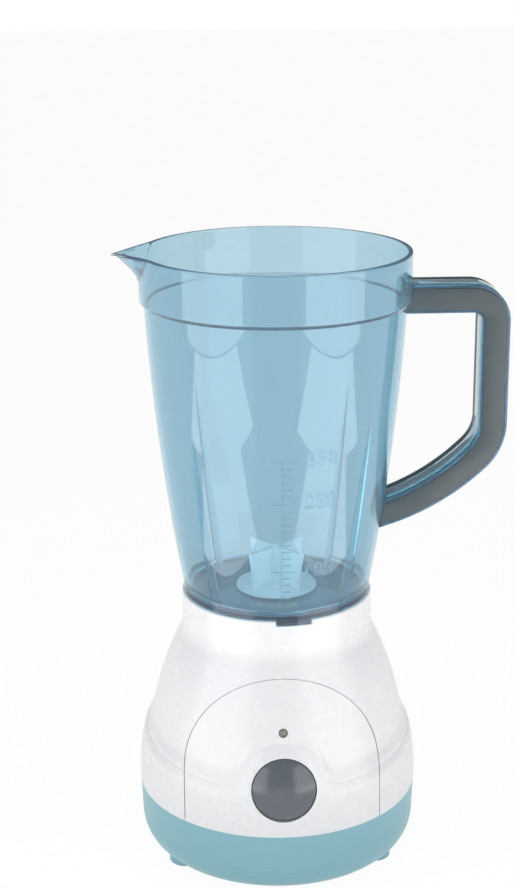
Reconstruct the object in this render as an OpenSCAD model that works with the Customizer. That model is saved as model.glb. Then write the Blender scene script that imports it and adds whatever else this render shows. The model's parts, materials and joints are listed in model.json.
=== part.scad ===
// Toy blender: a clear jug with a spinning impeller, standing on a battery base.
// Millimetres. The origin is on the floor under the drive shaft, +Z is up,
// the button faces -Y, the handle points to +X and the spout to -X.

/* [Tub] */
// Height of the feet under the tub
foot_h = 3.5; // [2.5:0.1:5]
// Radius of a foot
foot_r = 6.5; // [5:0.1:7]
// How far the feet's centres lie inside the edge of the flat underside
foot_in = 2.6; // [2:0.1:5]
// Angle of the feet from the front or the back
foot_angle = 61; // [50:0.1:62]
// Height of the tub from its underside to the joint with the shell
tub_h = 28.1; // [27:0.1:32]
// Width of the rounded edge round the flat underside
tub_edge_w = 9.6; // [8.6:0.1:10.6]
// How far the wall leans out between the rounded edge and the joint
tub_draft = 0.6; // [0.3:0.1:1.3]
// Height of the rounded edge
tub_edge_h = 12.6; // [12:0.1:15.4]
// Thickness of the tub's wall and floor
tub_wall = 2; // [1.8:0.1:2.2]
// Height of the lip that locates the shell
lip_h = 3; // [2:0.1:3.5]

/* [Base shell] */
// Outer radius of the belt at the joint with the tub
belt_r = 60.3; // [60:0.1:61.5]
// Radius of the arc that draws the belt in towards its upper edge
belt_arc = 90; // [83:1:98]
// Height of the belt's upper edge above the joint, on the axis
crease_h = 27.6; // [26:0.1:30]
// Slope of the belt's upper edge, down towards the front
crease_tilt = 5; // [3:0.1:7]
// Radius of the round pad that the belt forms round the button
pad_r = 18.4; // [17.5:0.1:20]
// Radius between the pad and the belt's upper edge
pad_fillet = 6; // [4:0.1:8]
// How far the bulb lies inside the belt, at its widest level
bulb_in = 3.5; // [3:0.1:4.5]
// Radius of the arc of the bulb's side
bulb_arc = 144; // [140:1:155]
// Outer radius of the neck
neck_r = 40.4; // [39.9:0.1:41.1]
// Radius of the hollow curve between bulb and neck
neck_fillet = 17.5; // [14:0.5:20]
// Height of the shell from the joint to the top of the neck
base_h = 86.7; // [85:0.1:90]
// Thickness of the shell's wall
shell_wall = 2.1; // [1.8:0.1:2.4]
// Thickness of the neck's wall
neck_wall = 1.9; // [1.6:0.1:2.1]
// Depth of the seat in the neck
seat_depth = 14; // [13:0.1:15]
// Thickness of the deck under the seat
deck_t = 2.3; // [2:0.1:3]

/* [Front panel] */
// Half width of the arched front panel
panel_half = 41; // [39:0.1:42]
// Height of the arch above the button's centre
panel_rise = 43.5; // [40:0.1:45]
// Gap round the panel
panel_gap = 0.25; // [0.15:0.05:0.4]
// Thickness of the lip behind the shell
panel_lip_t = 1.5; // [1.2:0.1:2]
// Reach of the lip behind the shell
panel_lip_w = 1.5; // [1.2:0.1:1.6]

/* [Button] */
// Radius of the button's cap
button_r = 13.2; // [12:0.1:13.6]
// Height of the button's centre above the joint with the tub
button_h = 20.7; // [20:0.1:23]
// Angle by which the button faces upwards
button_tilt = 9; // [6:0.5:11]
// Height of the cap's domed face
dome_h = 3.7; // [2.5:0.1:4.5]
// Travel of the button
button_travel = 2.5; // [2:0.1:3]
// Gap round the button
button_gap = 0.3; // [0.2:0.05:0.4]
// Radius of the indicator lamp
lamp_r = 1.85; // [1.5:0.05:2.5]
// Height of the lamp above the button's centre, along the panel
lamp_up = 23.5; // [22.5:0.1:24.5]

/* [Jug] */
// Outer radius of the jug's wall at its floor
jug_floor_r = 39.1; // [38.8:0.1:39.6]
// Outer radius of the jug's wall under the collar
jug_top_r = 53.8; // [53:0.1:54.4]
// Bulge of the wall past a straight cone
jug_bulge = 2; // [1:0.1:3]
// Height of the wall from the floor to the collar
jug_h = 124.5; // [120:0.5:140]
// Outer radius of the collar
collar_r = 55.7; // [55.1:0.1:56.5]
// Height of the collar
collar_h = 21.2; // [19:0.1:25]
// Radius of the collar's rounded lower edge
collar_edge = 3; // [2:0.1:5]
// Thickness of the jug's wall
jug_wall = 1.9; // [1.6:0.1:2.2]
// Thickness of the jug's floor
jug_floor_t = 2.2; // [2:0.1:3]
// Reach of the spout's tip from the axis
spout_reach = 66.6; // [64:0.1:71]
// Half angle of the spout's mouth
spout_half_angle = 22; // [18:0.5:26]
// Height of the spout down the collar
spout_h = 13; // [11:0.1:15]
// Height of the four ribs above the floor
rib_h = 81.5; // [60:0.5:100]
// Reach of a rib from the wall, at the floor
rib_reach = 3.6; // [2:0.1:5]
// Thickness of a rib
rib_t = 1.6; // [1.2:0.1:2.4]
// Angles of the ribs from the front, on each side
rib_angles = [46.3, 136.3];

/* [Handle] */
// Distance of the grip's centre line from the axis
grip_x = 89.6; // [84:0.1:94]
// Width of the handle, seen from the front
handle_w = 11.6; // [10:0.1:14]
// Width of the handle where it meets the wall again
handle_end_w = 10.9; // [8:0.1:12]
// Depth of the clear core
core_depth = 13; // [10:0.1:15]
// Depth of the back cover
cover_depth = 5.3; // [4:0.1:8]
// Clear border round the front plate
plate_border = 1.2; // [0.8:0.1:2]
// Distance of the top bar's centre line below the rim
top_bar_drop = 19.9; // [18:0.1:21]
// Radius of the centre line in the upper corner
upper_bend = 9.5; // [9:0.1:16]
// Length of the straight grip
grip_h = 43.2; // [35:0.1:50]
// Radius of the centre line in the lower corner
lower_bend = 21; // [16:0.5:28]
// Radius of the centre line along the lower bar
sweep_bend = 98; // [90:1:120]

/* [Impeller] */
// Radius of the impeller's disc
disc_r = 17.2; // [15:0.1:20]
// Height of the blades' upper edge above the jug's floor
blade_h = 18.4; // [14:0.1:24]
// Reach of a blade at its upper edge
blade_reach = 15.8; // [13:0.1:16.5]
// Reach of a blade at its foot
blade_foot = 13.9; // [12:0.1:15]
// Thickness of a blade
blade_t = 1.6; // [1.2:0.1:2.2]
// Angle of the first blade from +X, as the impeller stands
blade_angle = 42; // [0:1:90]

/* [Drive] */
// Radius of the two steel shafts
shaft_r = 1.5; // [1.2:0.1:2]
// Running clearance of a shaft in its bush
run_gap = 0.05; // [0.02:0.01:0.08]
// Radius of the couplings
coupling_r = 9; // [7:0.1:11]
// Module of the two gears
gear_module = 0.8; // [0.7:0.05:0.9]
// Teeth of the drive gear
gear_teeth = 32; // [32:2:36]
// Teeth of the motor's pinion
pinion_teeth = 10; // [10:2:12]
// Face width of the drive gear
gear_w = 4; // [3:0.1:6]
// Clear height between the deck and the motor bracket
gearbox_h = 20; // [19:0.1:24]
// Width of the motor's can across its round sides
motor_w = 20; // [18:0.1:22]
// Width of the motor's can across its flat sides
motor_flat = 15.1; // [14:0.1:16]
// Length of the motor's can
motor_h = 25; // [23:0.1:28]

/* [Batteries] */
// Radius of a cell
cell_r = 7.1; // [6.8:0.05:7.15]
// Length of a cell over its terminal
cell_l = 50.5; // [48:0.1:51]
// Distance between neighbouring cells' centre lines
cell_pitch = 15.2; // [14.8:0.1:15.4]
// Room at the cells' ends, for the contacts
contact_room = 8.5; // [7:0.1:9]

/* [Hidden] */
$fn = 96;
ROUND = 32;
CLEAR = 0.3;   // between pieces that move past each other
SEAT = 0.05;   // between pieces that seat on each other
BIG = 200;

bulb_r = belt_r - bulb_in;
tub_wall_r = belt_r - tub_draft;
tub_floor_r = tub_wall_r - tub_edge_w;
foot_ring = tub_floor_r - foot_in;

z_base = foot_h + tub_h;
z_neck = z_base + base_h;
z_seat = z_neck - seat_depth;
z_floor = z_neck + CLEAR;
z_step = z_floor + jug_h;
z_rim = z_step + collar_h;
z_button = z_base + button_h;

/* ---- Shared outlines ---- */

// Points of an arc in the plane, from angle a0 to a1
function arc(cx, cy, rx, ry, a0, a1, steps) =
  [for (i = [0 : steps]) let (a = a0 + (a1 - a0) * i / steps) [cx + rx * cos(a), cy + ry * sin(a)]];

// Radius of the bulb and of the belt at height z
bulb_z = z_base + 5.2;
belt_z = z_base + 4.4;
function arc_drop(r, dz) = r - sqrt(r * r - dz * dz);
function bulb_at(z) = bulb_r - arc_drop(bulb_arc, z - bulb_z);
function belt_at(z) = belt_r - (z > belt_z ? arc_drop(belt_arc, z - belt_z) : 0);

// The hollow curve touches the bulb's arc and the neck
neck_curve_z = bulb_z + sqrt(pow(bulb_arc + neck_fillet, 2)
  - pow(neck_r + neck_fillet - bulb_r + bulb_arc, 2));
neck_touch_z = bulb_z + (neck_curve_z - bulb_z) * bulb_arc / (bulb_arc + neck_fillet);
function side_at(z) = z < neck_touch_z ? bulb_at(z)
  : z < neck_curve_z ? neck_r + neck_fillet - sqrt(pow(neck_fillet, 2) - pow(neck_curve_z - z, 2))
  : neck_r;

belt_over = 2.9;   // of the belt's arc over the pad
belt_top_z = z_button + pad_r + belt_over;
bulb_low_z = z_base + 12;
neck_round = 0.8;
side_levels = concat([for (i = [0 : 12]) bulb_low_z + (neck_touch_z - bulb_low_z) * i / 12],
  [for (i = [1 : 5]) neck_touch_z + (neck_curve_z - neck_touch_z) * i / 5]);

// The shell's whole outer body
module bulb_body() {
  rotate_extrude() polygon(concat([[0, bulb_low_z]],
    [for (z = side_levels) [side_at(z), z]],
    arc(neck_r - neck_round, z_neck - neck_round, neck_round, neck_round, 0, 90, 4),
    [[0, z_neck]]));
}

module belt_body() {
  rotate_extrude() polygon(concat([[0, z_base], [belt_r, z_base]],
    [for (i = [0 : 12]) let (z = belt_z + (belt_top_z - belt_z) * i / 12) [belt_at(z), z]],
    [[0, belt_top_z]]));
}

// Where the belt stands proud: below a tilted plane, and on the pad round the button
fillet_z = z_base + crease_h - belt_r * sin(crease_tilt) + pad_fillet;
fillet_x = sqrt(pow(pad_r + pad_fillet, 2) - pow(fillet_z - z_button, 2));
pad_touch = acos((fillet_z - z_button) / (pad_r + pad_fillet));
pad_side = fillet_x + 0.5;

module belt_zone() {
  translate([0, 0, z_base + crease_h]) rotate([crease_tilt, 0, 0])
    translate([-BIG / 2, -BIG / 2, -BIG]) cube([BIG, BIG, BIG]);
  rotate([90, 0, 0]) linear_extrude(BIG / 2) polygon(concat(
    [[pad_side, z_base - 1], [pad_side, fillet_z - pad_fillet - 0.6]],
    arc(fillet_x, fillet_z, pad_fillet, pad_fillet, 265, 270 - pad_touch, 5),
    arc(0, z_button, pad_r, pad_r, 90 - pad_touch, 90 + pad_touch, 14),
    arc(-fillet_x, fillet_z, pad_fillet, pad_fillet, pad_touch - 90, -85, 5),
    [[-pad_side, fillet_z - pad_fillet - 0.6], [-pad_side, z_base - 1]]));
}

module base_body() {
  bulb_body();
  intersection() {
    belt_body();
    belt_zone();
  }
}

// The room inside the shell, drawn in by inset
wall_turn_z = z_base + 22.4;
module base_room(inset = 0) {
  rotate_extrude() polygon(concat(
    [[0, z_base - 1], [belt_r - shell_wall - 0.3 - inset, z_base - 1],
     [belt_r - shell_wall - 0.3 - inset, z_base + 10.4]],
    [for (z = concat([wall_turn_z], [for (z = side_levels) if (z > wall_turn_z + 2 && z < z_seat - deck_t - 1) z],
      [z_seat - deck_t])) [side_at(z) - shell_wall - inset, z]],
    [[0, z_seat - deck_t]]));
}

// The arch of the front panel, drawn out by grow
module arch_prism(grow = 0, low = -1) {
  rotate([90, 0, 0]) linear_extrude(BIG / 2) polygon(concat(
    [[panel_half + grow, z_base + low]],
    arc(0, z_button, panel_half + grow, panel_rise + grow, 0, 180, 36),
    [[-panel_half - grow, z_base + low]]));
}

// The button's own frame: origin on the pad, z out of the panel, y up along it
module at_button() {
  translate([0, -belt_at(z_button), z_button]) rotate([90 - button_tilt, 0, 0]) children();
}
function from_button(x, y, z) =
  [x, -belt_at(z_button) + y * sin(button_tilt) - z * cos(button_tilt),
   z_button + y * cos(button_tilt) + z * sin(button_tilt)];

module tube(outer, inner, h) {
  difference() {
    cylinder(r = outer, h = h);
    translate([0, 0, -1]) cylinder(r = inner, h = h + 2);
  }
}

// A round-headed screw, its head's underside at 0 and its tip at -length
module screw(r, length, head_r, head_h) {
  translate([0, 0, -length]) cylinder(r = r, h = length + 0.2);
  difference() {
    intersection() {
      cylinder(r = head_r, h = head_h);
      translate([0, 0, head_h - head_r * 1.6]) sphere(r = head_r * 1.6);
    }
    for (turn = [0, 90]) rotate(turn)
      translate([-head_r * 0.6, -0.3, head_h - 0.9]) cube([head_r * 1.2, 0.6, 2]);
  }
}

// A round bar from a to b
module bar(a, b, r) {
  d = b - a;
  translate(a) rotate([0, acos(d.z / norm(d)), atan2(d.y, d.x)]) cylinder(r = r, h = norm(d), $fn = 24);
}

// A wire through the points, with round bends
module wire(points, r) {
  for (i = [0 : len(points) - 2]) bar(points[i], points[i + 1], r);
  for (i = [1 : len(points) - 2]) translate(points[i]) sphere(r = r * 1.06, $fn = 24);
}

// A coil spring standing on 0, as one swept tube
module coil(mean_r, wire_r, length, turns) {
  sides = 6;
  per_turn = 12;
  rings = turns * per_turn;
  rise = (length - 2 * wire_r) / rings;
  centres = [for (i = [0 : rings]) let (a = 360 * i / per_turn)
    [mean_r * cos(a), mean_r * sin(a), rise * i]];
  echo(least_gap_of_the_coil = min([for (i = [0 : rings]) for (j = [i + per_turn / 2 : rings])
    norm(centres[i] - centres[j])]) - 2 * wire_r);
  points = [for (i = [0 : rings]) for (j = [0 : sides - 1])
    let (a = 360 * i / per_turn, b = 360 * j / sides, out = mean_r + wire_r * cos(b))
      [out * cos(a), out * sin(a), wire_r + rise * i + wire_r * sin(b)]];
  walls = [for (i = [0 : rings - 1]) for (j = [0 : sides - 1]) let (k = (j + 1) % sides)
    [[i * sides + j, (i + 1) * sides + k, i * sides + k],
     [i * sides + j, (i + 1) * sides + j, (i + 1) * sides + k]]];
  polyhedron(points, concat([for (w = walls) w[0]], [for (w = walls) w[1]],
    [[for (j = [0 : sides - 1]) j]], [[for (j = [0 : sides - 1]) rings * sides + sides - 1 - j]]));
}

/* ---- Base ---- */

post_ring = foot_ring;
post_angles = [foot_angle, 180 - foot_angle];
post_r = 3.4;
post_drop = 7.6;
post_rise = 40;
post_low_z = z_base - post_drop;
post_top_z = z_base + post_rise;
housing_screw_r = 1.3;
housing_head_r = 2.6;

// The places of the four housing screws, on both sides
module at_posts() {
  for (side = [-1, 1]) for (a = post_angles)
    translate([side * post_ring * sin(a), -post_ring * cos(a), 0]) rotate(atan2(-cos(a), side * sin(a))) children();
}

// The lugs on the jug that drop into notches of the neck: the front one and its opposite
lug_angles = [-2.5, 17.7];
lug_h = 2.3;
module lug_sector(grow, low, high, inner, outer) {
  a = (lug_angles[0] + lug_angles[1]) / 2;
  half = (lug_angles[1] - lug_angles[0]) / 2 + grow;
  for (back = [0, 180]) rotate(a - 90 + back)
    intersection() {
      translate([0, 0, low]) tube(outer, inner, high - low);
      translate([0, 0, low]) linear_extrude(high - low)
        polygon([[0, 0], [BIG / 3, -BIG / 3 * tan(half)], [BIG / 3, BIG / 3 * tan(half)]]);
    }
}

bush_r = 4;
bush_flange_r = 5;
deck_boss_r = 6;
deck_boss_h = 7;
bracket_ring = 22;
bracket_angles = [30, 150, 270];
bracket_post_r = 3;
bracket_screw_r = 1.1;
bracket_z = z_seat - deck_t - gearbox_h;

module base_shell() {
  color("white") difference() {
    union() {
      difference() {
        base_body();
        base_room();
        translate([0, 0, z_seat]) cylinder(r = neck_r - neck_wall, h = BIG);
        arch_prism();
      }
      translate([0, 0, z_seat - deck_t - deck_boss_h]) cylinder(r = deck_boss_r, h = deck_boss_h + 1);
      for (a = bracket_angles) rotate(a) translate([bracket_ring, 0, bracket_z])
        cylinder(r = bracket_post_r, h = gearbox_h + 1);
      intersection() {
        base_room(-1);
        at_posts() {
          translate([0, 0, post_low_z]) cylinder(r = post_r, h = post_top_z - post_low_z);
          translate([0, -1, z_base + lip_h + 2]) cube([BIG / 4, 2, post_top_z - z_base - lip_h - 2]);
        }
      }
    }
    lug_sector(0.5, z_neck - lug_h + 0.2, z_neck + 1, neck_r - neck_wall - 1, neck_r + 1);
    translate([0, 0, z_seat - deck_t - deck_boss_h - 1]) cylinder(r = bush_r + SEAT, h = BIG);
    for (a = bracket_angles) rotate(a) translate([bracket_ring, 0, bracket_z - 1])
      cylinder(r = bracket_screw_r + SEAT, h = 9);
    at_posts() translate([0, 0, post_low_z - 1]) cylinder(r = housing_screw_r + SEAT, h = 12);
  }
}

guide_wall = 1.8;
guide_depth = 7.2;
board_depth = 19.5;
board_post = 19.5;
board_post_r = 2.6;
board_screw_r = 1;
frame_w = 4;

// A rim along the arch, between two insets of the room and two sizes of the arch
module panel_rim(near, far, outer, inner) {
  difference() {
    intersection() {
      base_room(near);
      arch_prism(outer);
    }
    base_room(far);
    arch_prism(inner, -2);
    translate([0, 0, z_base - 2]) cylinder(r = BIG / 2, h = 2 + lip_h + 0.5);
  }
}

module front_panel() {
  lamp_hole_r = lamp_r + 0.1;
  color("white") difference() {
    union() {
      difference() {
        intersection() {
          base_body();
          arch_prism(-panel_gap);
        }
        base_room();
      }
      // the lip behind the shell, and the step that joins it to the wall
      panel_rim(0.2, panel_lip_t + 0.2, panel_lip_w, -frame_w);
      panel_rim(-0.8, panel_lip_t / 2, -1, 1 - frame_w);
      // the button's guide and the board's posts
      intersection() {
        base_room(-1);
        at_button() {
          translate([0, 0, -guide_depth]) cylinder(r = button_r + button_gap + guide_wall, h = guide_depth);
          for (side = [-1, 1]) translate([side * board_post, 0, -board_depth])
            cylinder(r = board_post_r, h = board_depth - 2);
        }
      }
    }
    at_button() {
      translate([0, 0, -guide_depth - 1]) cylinder(r = button_r + button_gap, h = guide_depth + 12);
      translate([0, lamp_up, -14]) cylinder(r = lamp_hole_r, h = 20);
      for (side = [-1, 1]) translate([side * board_post, 0, -board_depth - 1])
        cylinder(r = board_screw_r + SEAT, h = 9);
    }
  }
}

// Battery room, along X: three cells side by side
room_x = (cell_l + contact_room) / 2;
room_y = cell_pitch + cell_r + 1.3;
z_tub_floor = foot_h + tub_wall;
cell_z = z_tub_floor + 0.4 + cell_r;
room_top_z = cell_z + cell_r + 1;
box_wall = 1.6;
door_gap = 0.25;
door_t = 1.8;
door_screw_y = room_y + 4.1;
door_tab_r = 4.2;
door_screw_r = 1.3;
hook_x = 15;
hook_w = 8;
hook_reach = 3.2;
hook_t = 1.4;

module door_outline(grow) {
  translate([-room_x - grow, -room_y - grow]) square([2 * (room_x + grow), 2 * (room_y + grow)]);
  translate([0, door_screw_y]) circle(door_tab_r + grow);
  translate([-door_tab_r - grow, 0]) square([2 * (door_tab_r + grow), door_screw_y]);
}

module tub_body() {
  rotate_extrude() polygon(concat(
    [[0, foot_h], [tub_floor_r, foot_h]],
    arc(tub_floor_r, foot_h + tub_edge_h, tub_wall_r - tub_floor_r, tub_edge_h, -80, 0, 8),
    [[belt_r, z_base], [belt_r - shell_wall - 0.5, z_base],
     [belt_r - shell_wall - 0.5, z_base + lip_h], [belt_r - shell_wall - 2, z_base + lip_h],
     [belt_r - shell_wall - 2, z_base - 3]],
    arc(tub_floor_r, foot_h + tub_edge_h, tub_wall_r - tub_floor_r - tub_wall, tub_edge_h - tub_wall, 0, -80, 8),
    [[0, z_tub_floor]]));
  at_posts() rotate_extrude() polygon([[0, 0], [foot_r - 0.8, 0], [foot_r, 0.8],
    [foot_r, foot_h + tub_wall - 0.4], [0, foot_h + tub_wall - 0.4]]);
}

// Height at which a housing screw's head sits in its boss
head_seat_z = z_base - 18;
contact_t = 0.5;
tag_w = 4;
tag_up = 3;

module base_tub() {
  color("mediumturquoise") difference() {
    union() {
      tub_body();
      // the battery box and the door screw's boss
      translate([-room_x - box_wall, -room_y - box_wall, z_tub_floor - 1])
        cube([2 * (room_x + box_wall), 2 * (room_y + box_wall), room_top_z + box_wall - z_tub_floor + 1]);
      translate([-door_tab_r - box_wall, room_y + 0.5, z_tub_floor - 0.8])
        cube([2 * (door_tab_r + box_wall), door_tab_r * 2 + box_wall, 9]);
      intersection() {
        tub_body_filled();
        at_posts() translate([0, 0, z_tub_floor - 1]) cylinder(r = post_r + 0.6, h = post_low_z - CLEAR / 3 - z_tub_floor + 1);
      }
    }
    translate([-room_x, -room_y, -1]) cube([2 * room_x, 2 * room_y, room_top_z + 1]);
    translate([0, 0, -1]) linear_extrude(z_tub_floor + CLEAR + 1) door_outline(0);
    for (side = [-1, 1]) translate([side * hook_x - hook_w / 2 - 0.5, -room_y - box_wall - 1, z_tub_floor])
      cube([hook_w + 1, box_wall + 2, 4]);
    for (tag = contact_tags) translate([tag.x - contact_t / 2 - 0.2, tag.y - tag_w / 2 - 0.2, room_top_z - 1])
      cube([contact_t + 0.4, tag_w + 0.4, box_wall + 2]);
    at_posts() {
      translate([0, 0, -1]) cylinder(r = housing_head_r + 0.4, h = head_seat_z + 1);
      cylinder(r = housing_screw_r + 0.2, h = BIG);
    }
    translate([0, door_screw_y, 0]) cylinder(r = door_screw_r + 0.6, h = z_tub_floor + 7);
  }
}

// The tub's outside, filled to above the joint
module tub_body_filled() {
  rotate_extrude() polygon(concat([[0, foot_h], [tub_floor_r, foot_h]],
    arc(tub_floor_r, foot_h + tub_edge_h, tub_wall_r - tub_floor_r - 1, tub_edge_h - 1, -80, 0, 8),
    [[tub_wall_r - 1, z_base], [0, z_base]]));
}

module battery_door() {
  color("mediumturquoise") difference() {
    union() {
      translate([0, 0, foot_h]) linear_extrude(door_t) door_outline(-door_gap);
      for (side = [-1, 1]) translate([side * hook_x - hook_w / 2, 0, 0]) {
        translate([0, -room_y + door_gap, foot_h]) cube([hook_w, 1.5, z_tub_floor - foot_h + CLEAR + hook_t]);
        translate([0, -room_y - hook_reach, z_tub_floor + CLEAR]) cube([hook_w, hook_reach + 1, hook_t]);
      }
      for (y = [-0.5, 0.5]) translate([-room_x + 6, y * cell_pitch - 0.75, foot_h])
        cube([2 * room_x - 12, 1.5, door_t + 1.6]);
    }
    translate([0, door_screw_y, 0]) cylinder(r = door_screw_r + 0.1, h = BIG);
    translate([0, door_screw_y, foot_h - 1]) cylinder(r = 2.6, h = 1.7);
  }
}

module battery_door_screw() {
  color("silver") translate([0, door_screw_y, foot_h + 0.7]) rotate([180, 0, 0])
    screw(door_screw_r, 6.2, 2.4, 1.4);
}

module housing_screws() {
  color("silver") at_posts() translate([0, 0, head_seat_z]) rotate([180, 0, 0])
    screw(housing_screw_r, post_low_z - head_seat_z + 8, housing_head_r, 1.8);
}

// Cells lie by turns: the terminal of the middle one points to +X, of the outer two to -X
contact_x = room_x - contact_t / 2 - 0.05;
nub_l = 1;
cell_rows = [[-1, -1], [0, 1], [1, -1]];

module battery_cells() {
  color("dimgray") for (row = cell_rows)
    translate([0, row[0] * cell_pitch, cell_z]) rotate([0, row[1] * 90, 0])
      translate([0, 0, room_x - contact_t - 0.15 - cell_l]) {
        cylinder(r = cell_r, h = cell_l - nub_l);
        cylinder(r = 2.7, h = cell_l);
      }
}

cell_spring_r = 3.6;
spring_l = 2 * room_x - 2 * contact_t - cell_l - 0.4;
module battery_springs() {
  color("silver") for (row = cell_rows)
    translate([-row[1] * (contact_x - contact_t / 2 - 0.05), row[0] * cell_pitch, cell_z])
      rotate([0, row[1] * 90, 0]) coil(cell_spring_r, spring_wire_r, spring_l, 4);
}

// Contact plates: a bridge at each end, and a terminal with a tag at each end
contact_tags = [[-contact_x, -cell_pitch, 0], [contact_x, cell_pitch, 0]];
module battery_contacts() {
  plate_h = 10;
  color("silver") for (end = [-1, 1]) {
    translate([end * contact_x - contact_t / 2, end * cell_pitch - 5, cell_z - plate_h / 2]) cube([contact_t, 10, plate_h]);
    translate([end * contact_x - contact_t / 2, end * cell_pitch - tag_w / 2, cell_z])
      cube([contact_t, tag_w, room_top_z + box_wall + tag_up - cell_z]);
    translate([end * contact_x - contact_t / 2, -end * cell_pitch / 2 - cell_pitch / 2 - 5, cell_z - plate_h / 2])
      cube([contact_t, cell_pitch + 10, plate_h]);
  }
}

/* ---- Button and board ---- */

cap_wall = 1.6;
cap_low = -guide_depth - CLEAR;
flange_t = 1.2;
flange_w = 1.3;
cap_edge = -1.5;
dome_r = (button_r * button_r + dome_h * dome_h) / (2 * dome_h);
stem_r = 2.4;
switch_w = 8;
switch_h = 5.8;
stem_low = -board_depth + SEAT + switch_h + CLEAR + button_travel;
plunger_r = 1.7;
plunger_h = 3.8;
plunger_low = stem_low - 0.2 - plunger_h;
board_t = 1.6;
board_w = 2 * board_post + 7;
board_low = -11;
board_high = lamp_up + 3.5;

module cap_form(r, inset) {
  intersection() {
    translate([0, 0, -BIG / 2]) cylinder(r = r, h = BIG);
    translate([0, 0, cap_edge + dome_h - dome_r]) sphere(r = dome_r - inset);
  }
}

module button() {
  color("dimgray") at_button() {
    difference() {
      union() {
        intersection() {
          cap_form(button_r, 0);
          translate([0, 0, cap_low - flange_t]) cylinder(r = BIG, h = BIG);
        }
        translate([0, 0, cap_low - flange_t]) cylinder(r = button_r + button_gap + flange_w, h = flange_t);
      }
      intersection() {
        cap_form(button_r - cap_wall, cap_wall + 0.2);
        translate([0, 0, cap_low - flange_t - 1]) cylinder(r = BIG, h = BIG);
      }
    }
    intersection() {
      translate([0, 0, stem_low]) cylinder(r = stem_r, h = BIG);
      cap_form(button_r, 1);
    }
  }
}

spring_wire_r = 0.35;
button_spring_r = 6.9;
spring_top = cap_edge + dome_h - arc_drop(dome_r - cap_wall - 0.2, button_spring_r + 0.4) - cap_wall - 0.4;
module button_spring() {
  color("silver") at_button() translate([0, 0, -board_depth + 0.1])
    coil(button_spring_r, spring_wire_r, board_depth + spring_top - 0.1, 6);
}

module push_switch() {
  color("black") at_button() difference() {
    translate([-switch_w / 2, -switch_w / 2, -board_depth + SEAT]) cube([switch_w, switch_w, switch_h]);
    translate([0, 0, plunger_low - button_travel - 0.2]) cylinder(r = plunger_r + run_gap, h = BIG / 4);
  }
}

module switch_plunger() {
  color("ivory") at_button() translate([0, 0, plunger_low]) cylinder(r = plunger_r, h = plunger_h);
}

module circuit_board() {
  color("darkgreen") at_button() difference() {
    translate([-board_w / 2, board_low, -board_depth - SEAT - board_t])
      cube([board_w, board_high - board_low, board_t]);
    for (side = [-1, 1]) translate([side * board_post, 0, -board_depth - 3]) cylinder(r = board_screw_r + 0.15, h = 5);
  }
}

module board_screws() {
  color("silver") at_button() for (side = [-1, 1])
    translate([side * board_post, 0, -board_depth - 2 * SEAT - board_t]) rotate([180, 0, 0])
      screw(board_screw_r, board_t + 6, 2, 1.4);
}

module board_resistor() {
  at = [11, 12];
  up = 1.6;   // of the resistor over the board
  color("tan") at_button() {
    bar([at.x - 3.2, at.y, -board_depth + up], [at.x + 3.2, at.y, -board_depth + up], 1.1);
    for (side = [-1, 1])
      wire([[at.x + side * 3, at.y, -board_depth + up], [at.x + side * 5, at.y, -board_depth + up],
        [at.x + side * 5, at.y, -board_depth + 0.02]], 0.3);
  }
}

lamp_face = -3.6;
module indicator_lamp() {
  body_l = 8;
  color("gray") at_button() translate([0, lamp_up, 0]) {
    translate([0, 0, lamp_face - lamp_r / 2]) intersection() {
      sphere(r = lamp_r);
      cylinder(r = lamp_r, h = lamp_r / 2);
    }
    translate([0, 0, lamp_face - lamp_r / 2 - body_l]) cylinder(r = lamp_r, h = body_l);
    for (side = [-1, 1]) translate([side * 0.9, 0, -board_depth + 0.02])
      cylinder(r = 0.25, h = board_depth + lamp_face - lamp_r / 2 - body_l + 0.5);
  }
}

/* ---- Drive ---- */

gear_pitch_r = gear_module * gear_teeth / 2;
pinion_pitch_r = gear_module * pinion_teeth / 2;
motor_y = gear_pitch_r + pinion_pitch_r;
gear_low_z = bracket_z + 3;
pressure = 20;
backlash = 0.16;

// Polar angle of an involute of base radius rb, at radius r
function involute_angle(rb, r) = let (t = sqrt(max(0, pow(r / rb, 2) - 1))) t * 180 / PI - atan(t);
// Half the angle that a tooth takes at radius r
function tooth_half(teeth, pitch_r, r) = let (rb = pitch_r * cos(pressure))
  90 / teeth - backlash / 2 / pitch_r * 180 / PI + involute_angle(rb, pitch_r) - involute_angle(rb, max(r, rb));

module gear_outline(teeth, pitch_r, root_r, tip_r) {
  rb = max(root_r + 0.05, pitch_r * cos(pressure));
  levels = [root_r, rb, (rb + tip_r) / 2, tip_r];
  polygon([for (i = [0 : teeth - 1]) for (j = [0 : 7])
    let (up = j < 4, r = up ? levels[j] : levels[7 - j],
      a = 360 * i / teeth + (up ? -1 : 1) * tooth_half(teeth, pitch_r, r))
      [r * cos(a), r * sin(a)]]);
}

gear_tip = 0.62 * gear_module;
pinion_tip = 0.9 * gear_module;
root_gap = 0.25;

module drive_gear() {
  color("ivory") translate([0, 0, gear_low_z]) difference() {
    union() {
      linear_extrude(gear_w) gear_outline(gear_teeth, gear_pitch_r, gear_pitch_r - pinion_tip - root_gap,
        gear_pitch_r + gear_tip);
      cylinder(r = 4, h = gear_w + 3);
    }
    for (z = [-1, gear_w - 1]) translate([0, 0, z]) tube(gear_pitch_r - 3, 5, 2);
    translate([0, 0, -1]) cylinder(r = shaft_r + 0.02, h = BIG);
  }
}

motor_shaft_r = 1;
module motor_pinion() {
  color("white") translate([0, motor_y, gear_low_z - 0.8]) difference() {
    linear_extrude(gear_w + 1.6) gear_outline(pinion_teeth, pinion_pitch_r,
      pinion_pitch_r - gear_tip - root_gap, pinion_pitch_r + pinion_tip);
    translate([0, 0, -1]) cylinder(r = motor_shaft_r + 0.02, h = BIG);
  }
}

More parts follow.
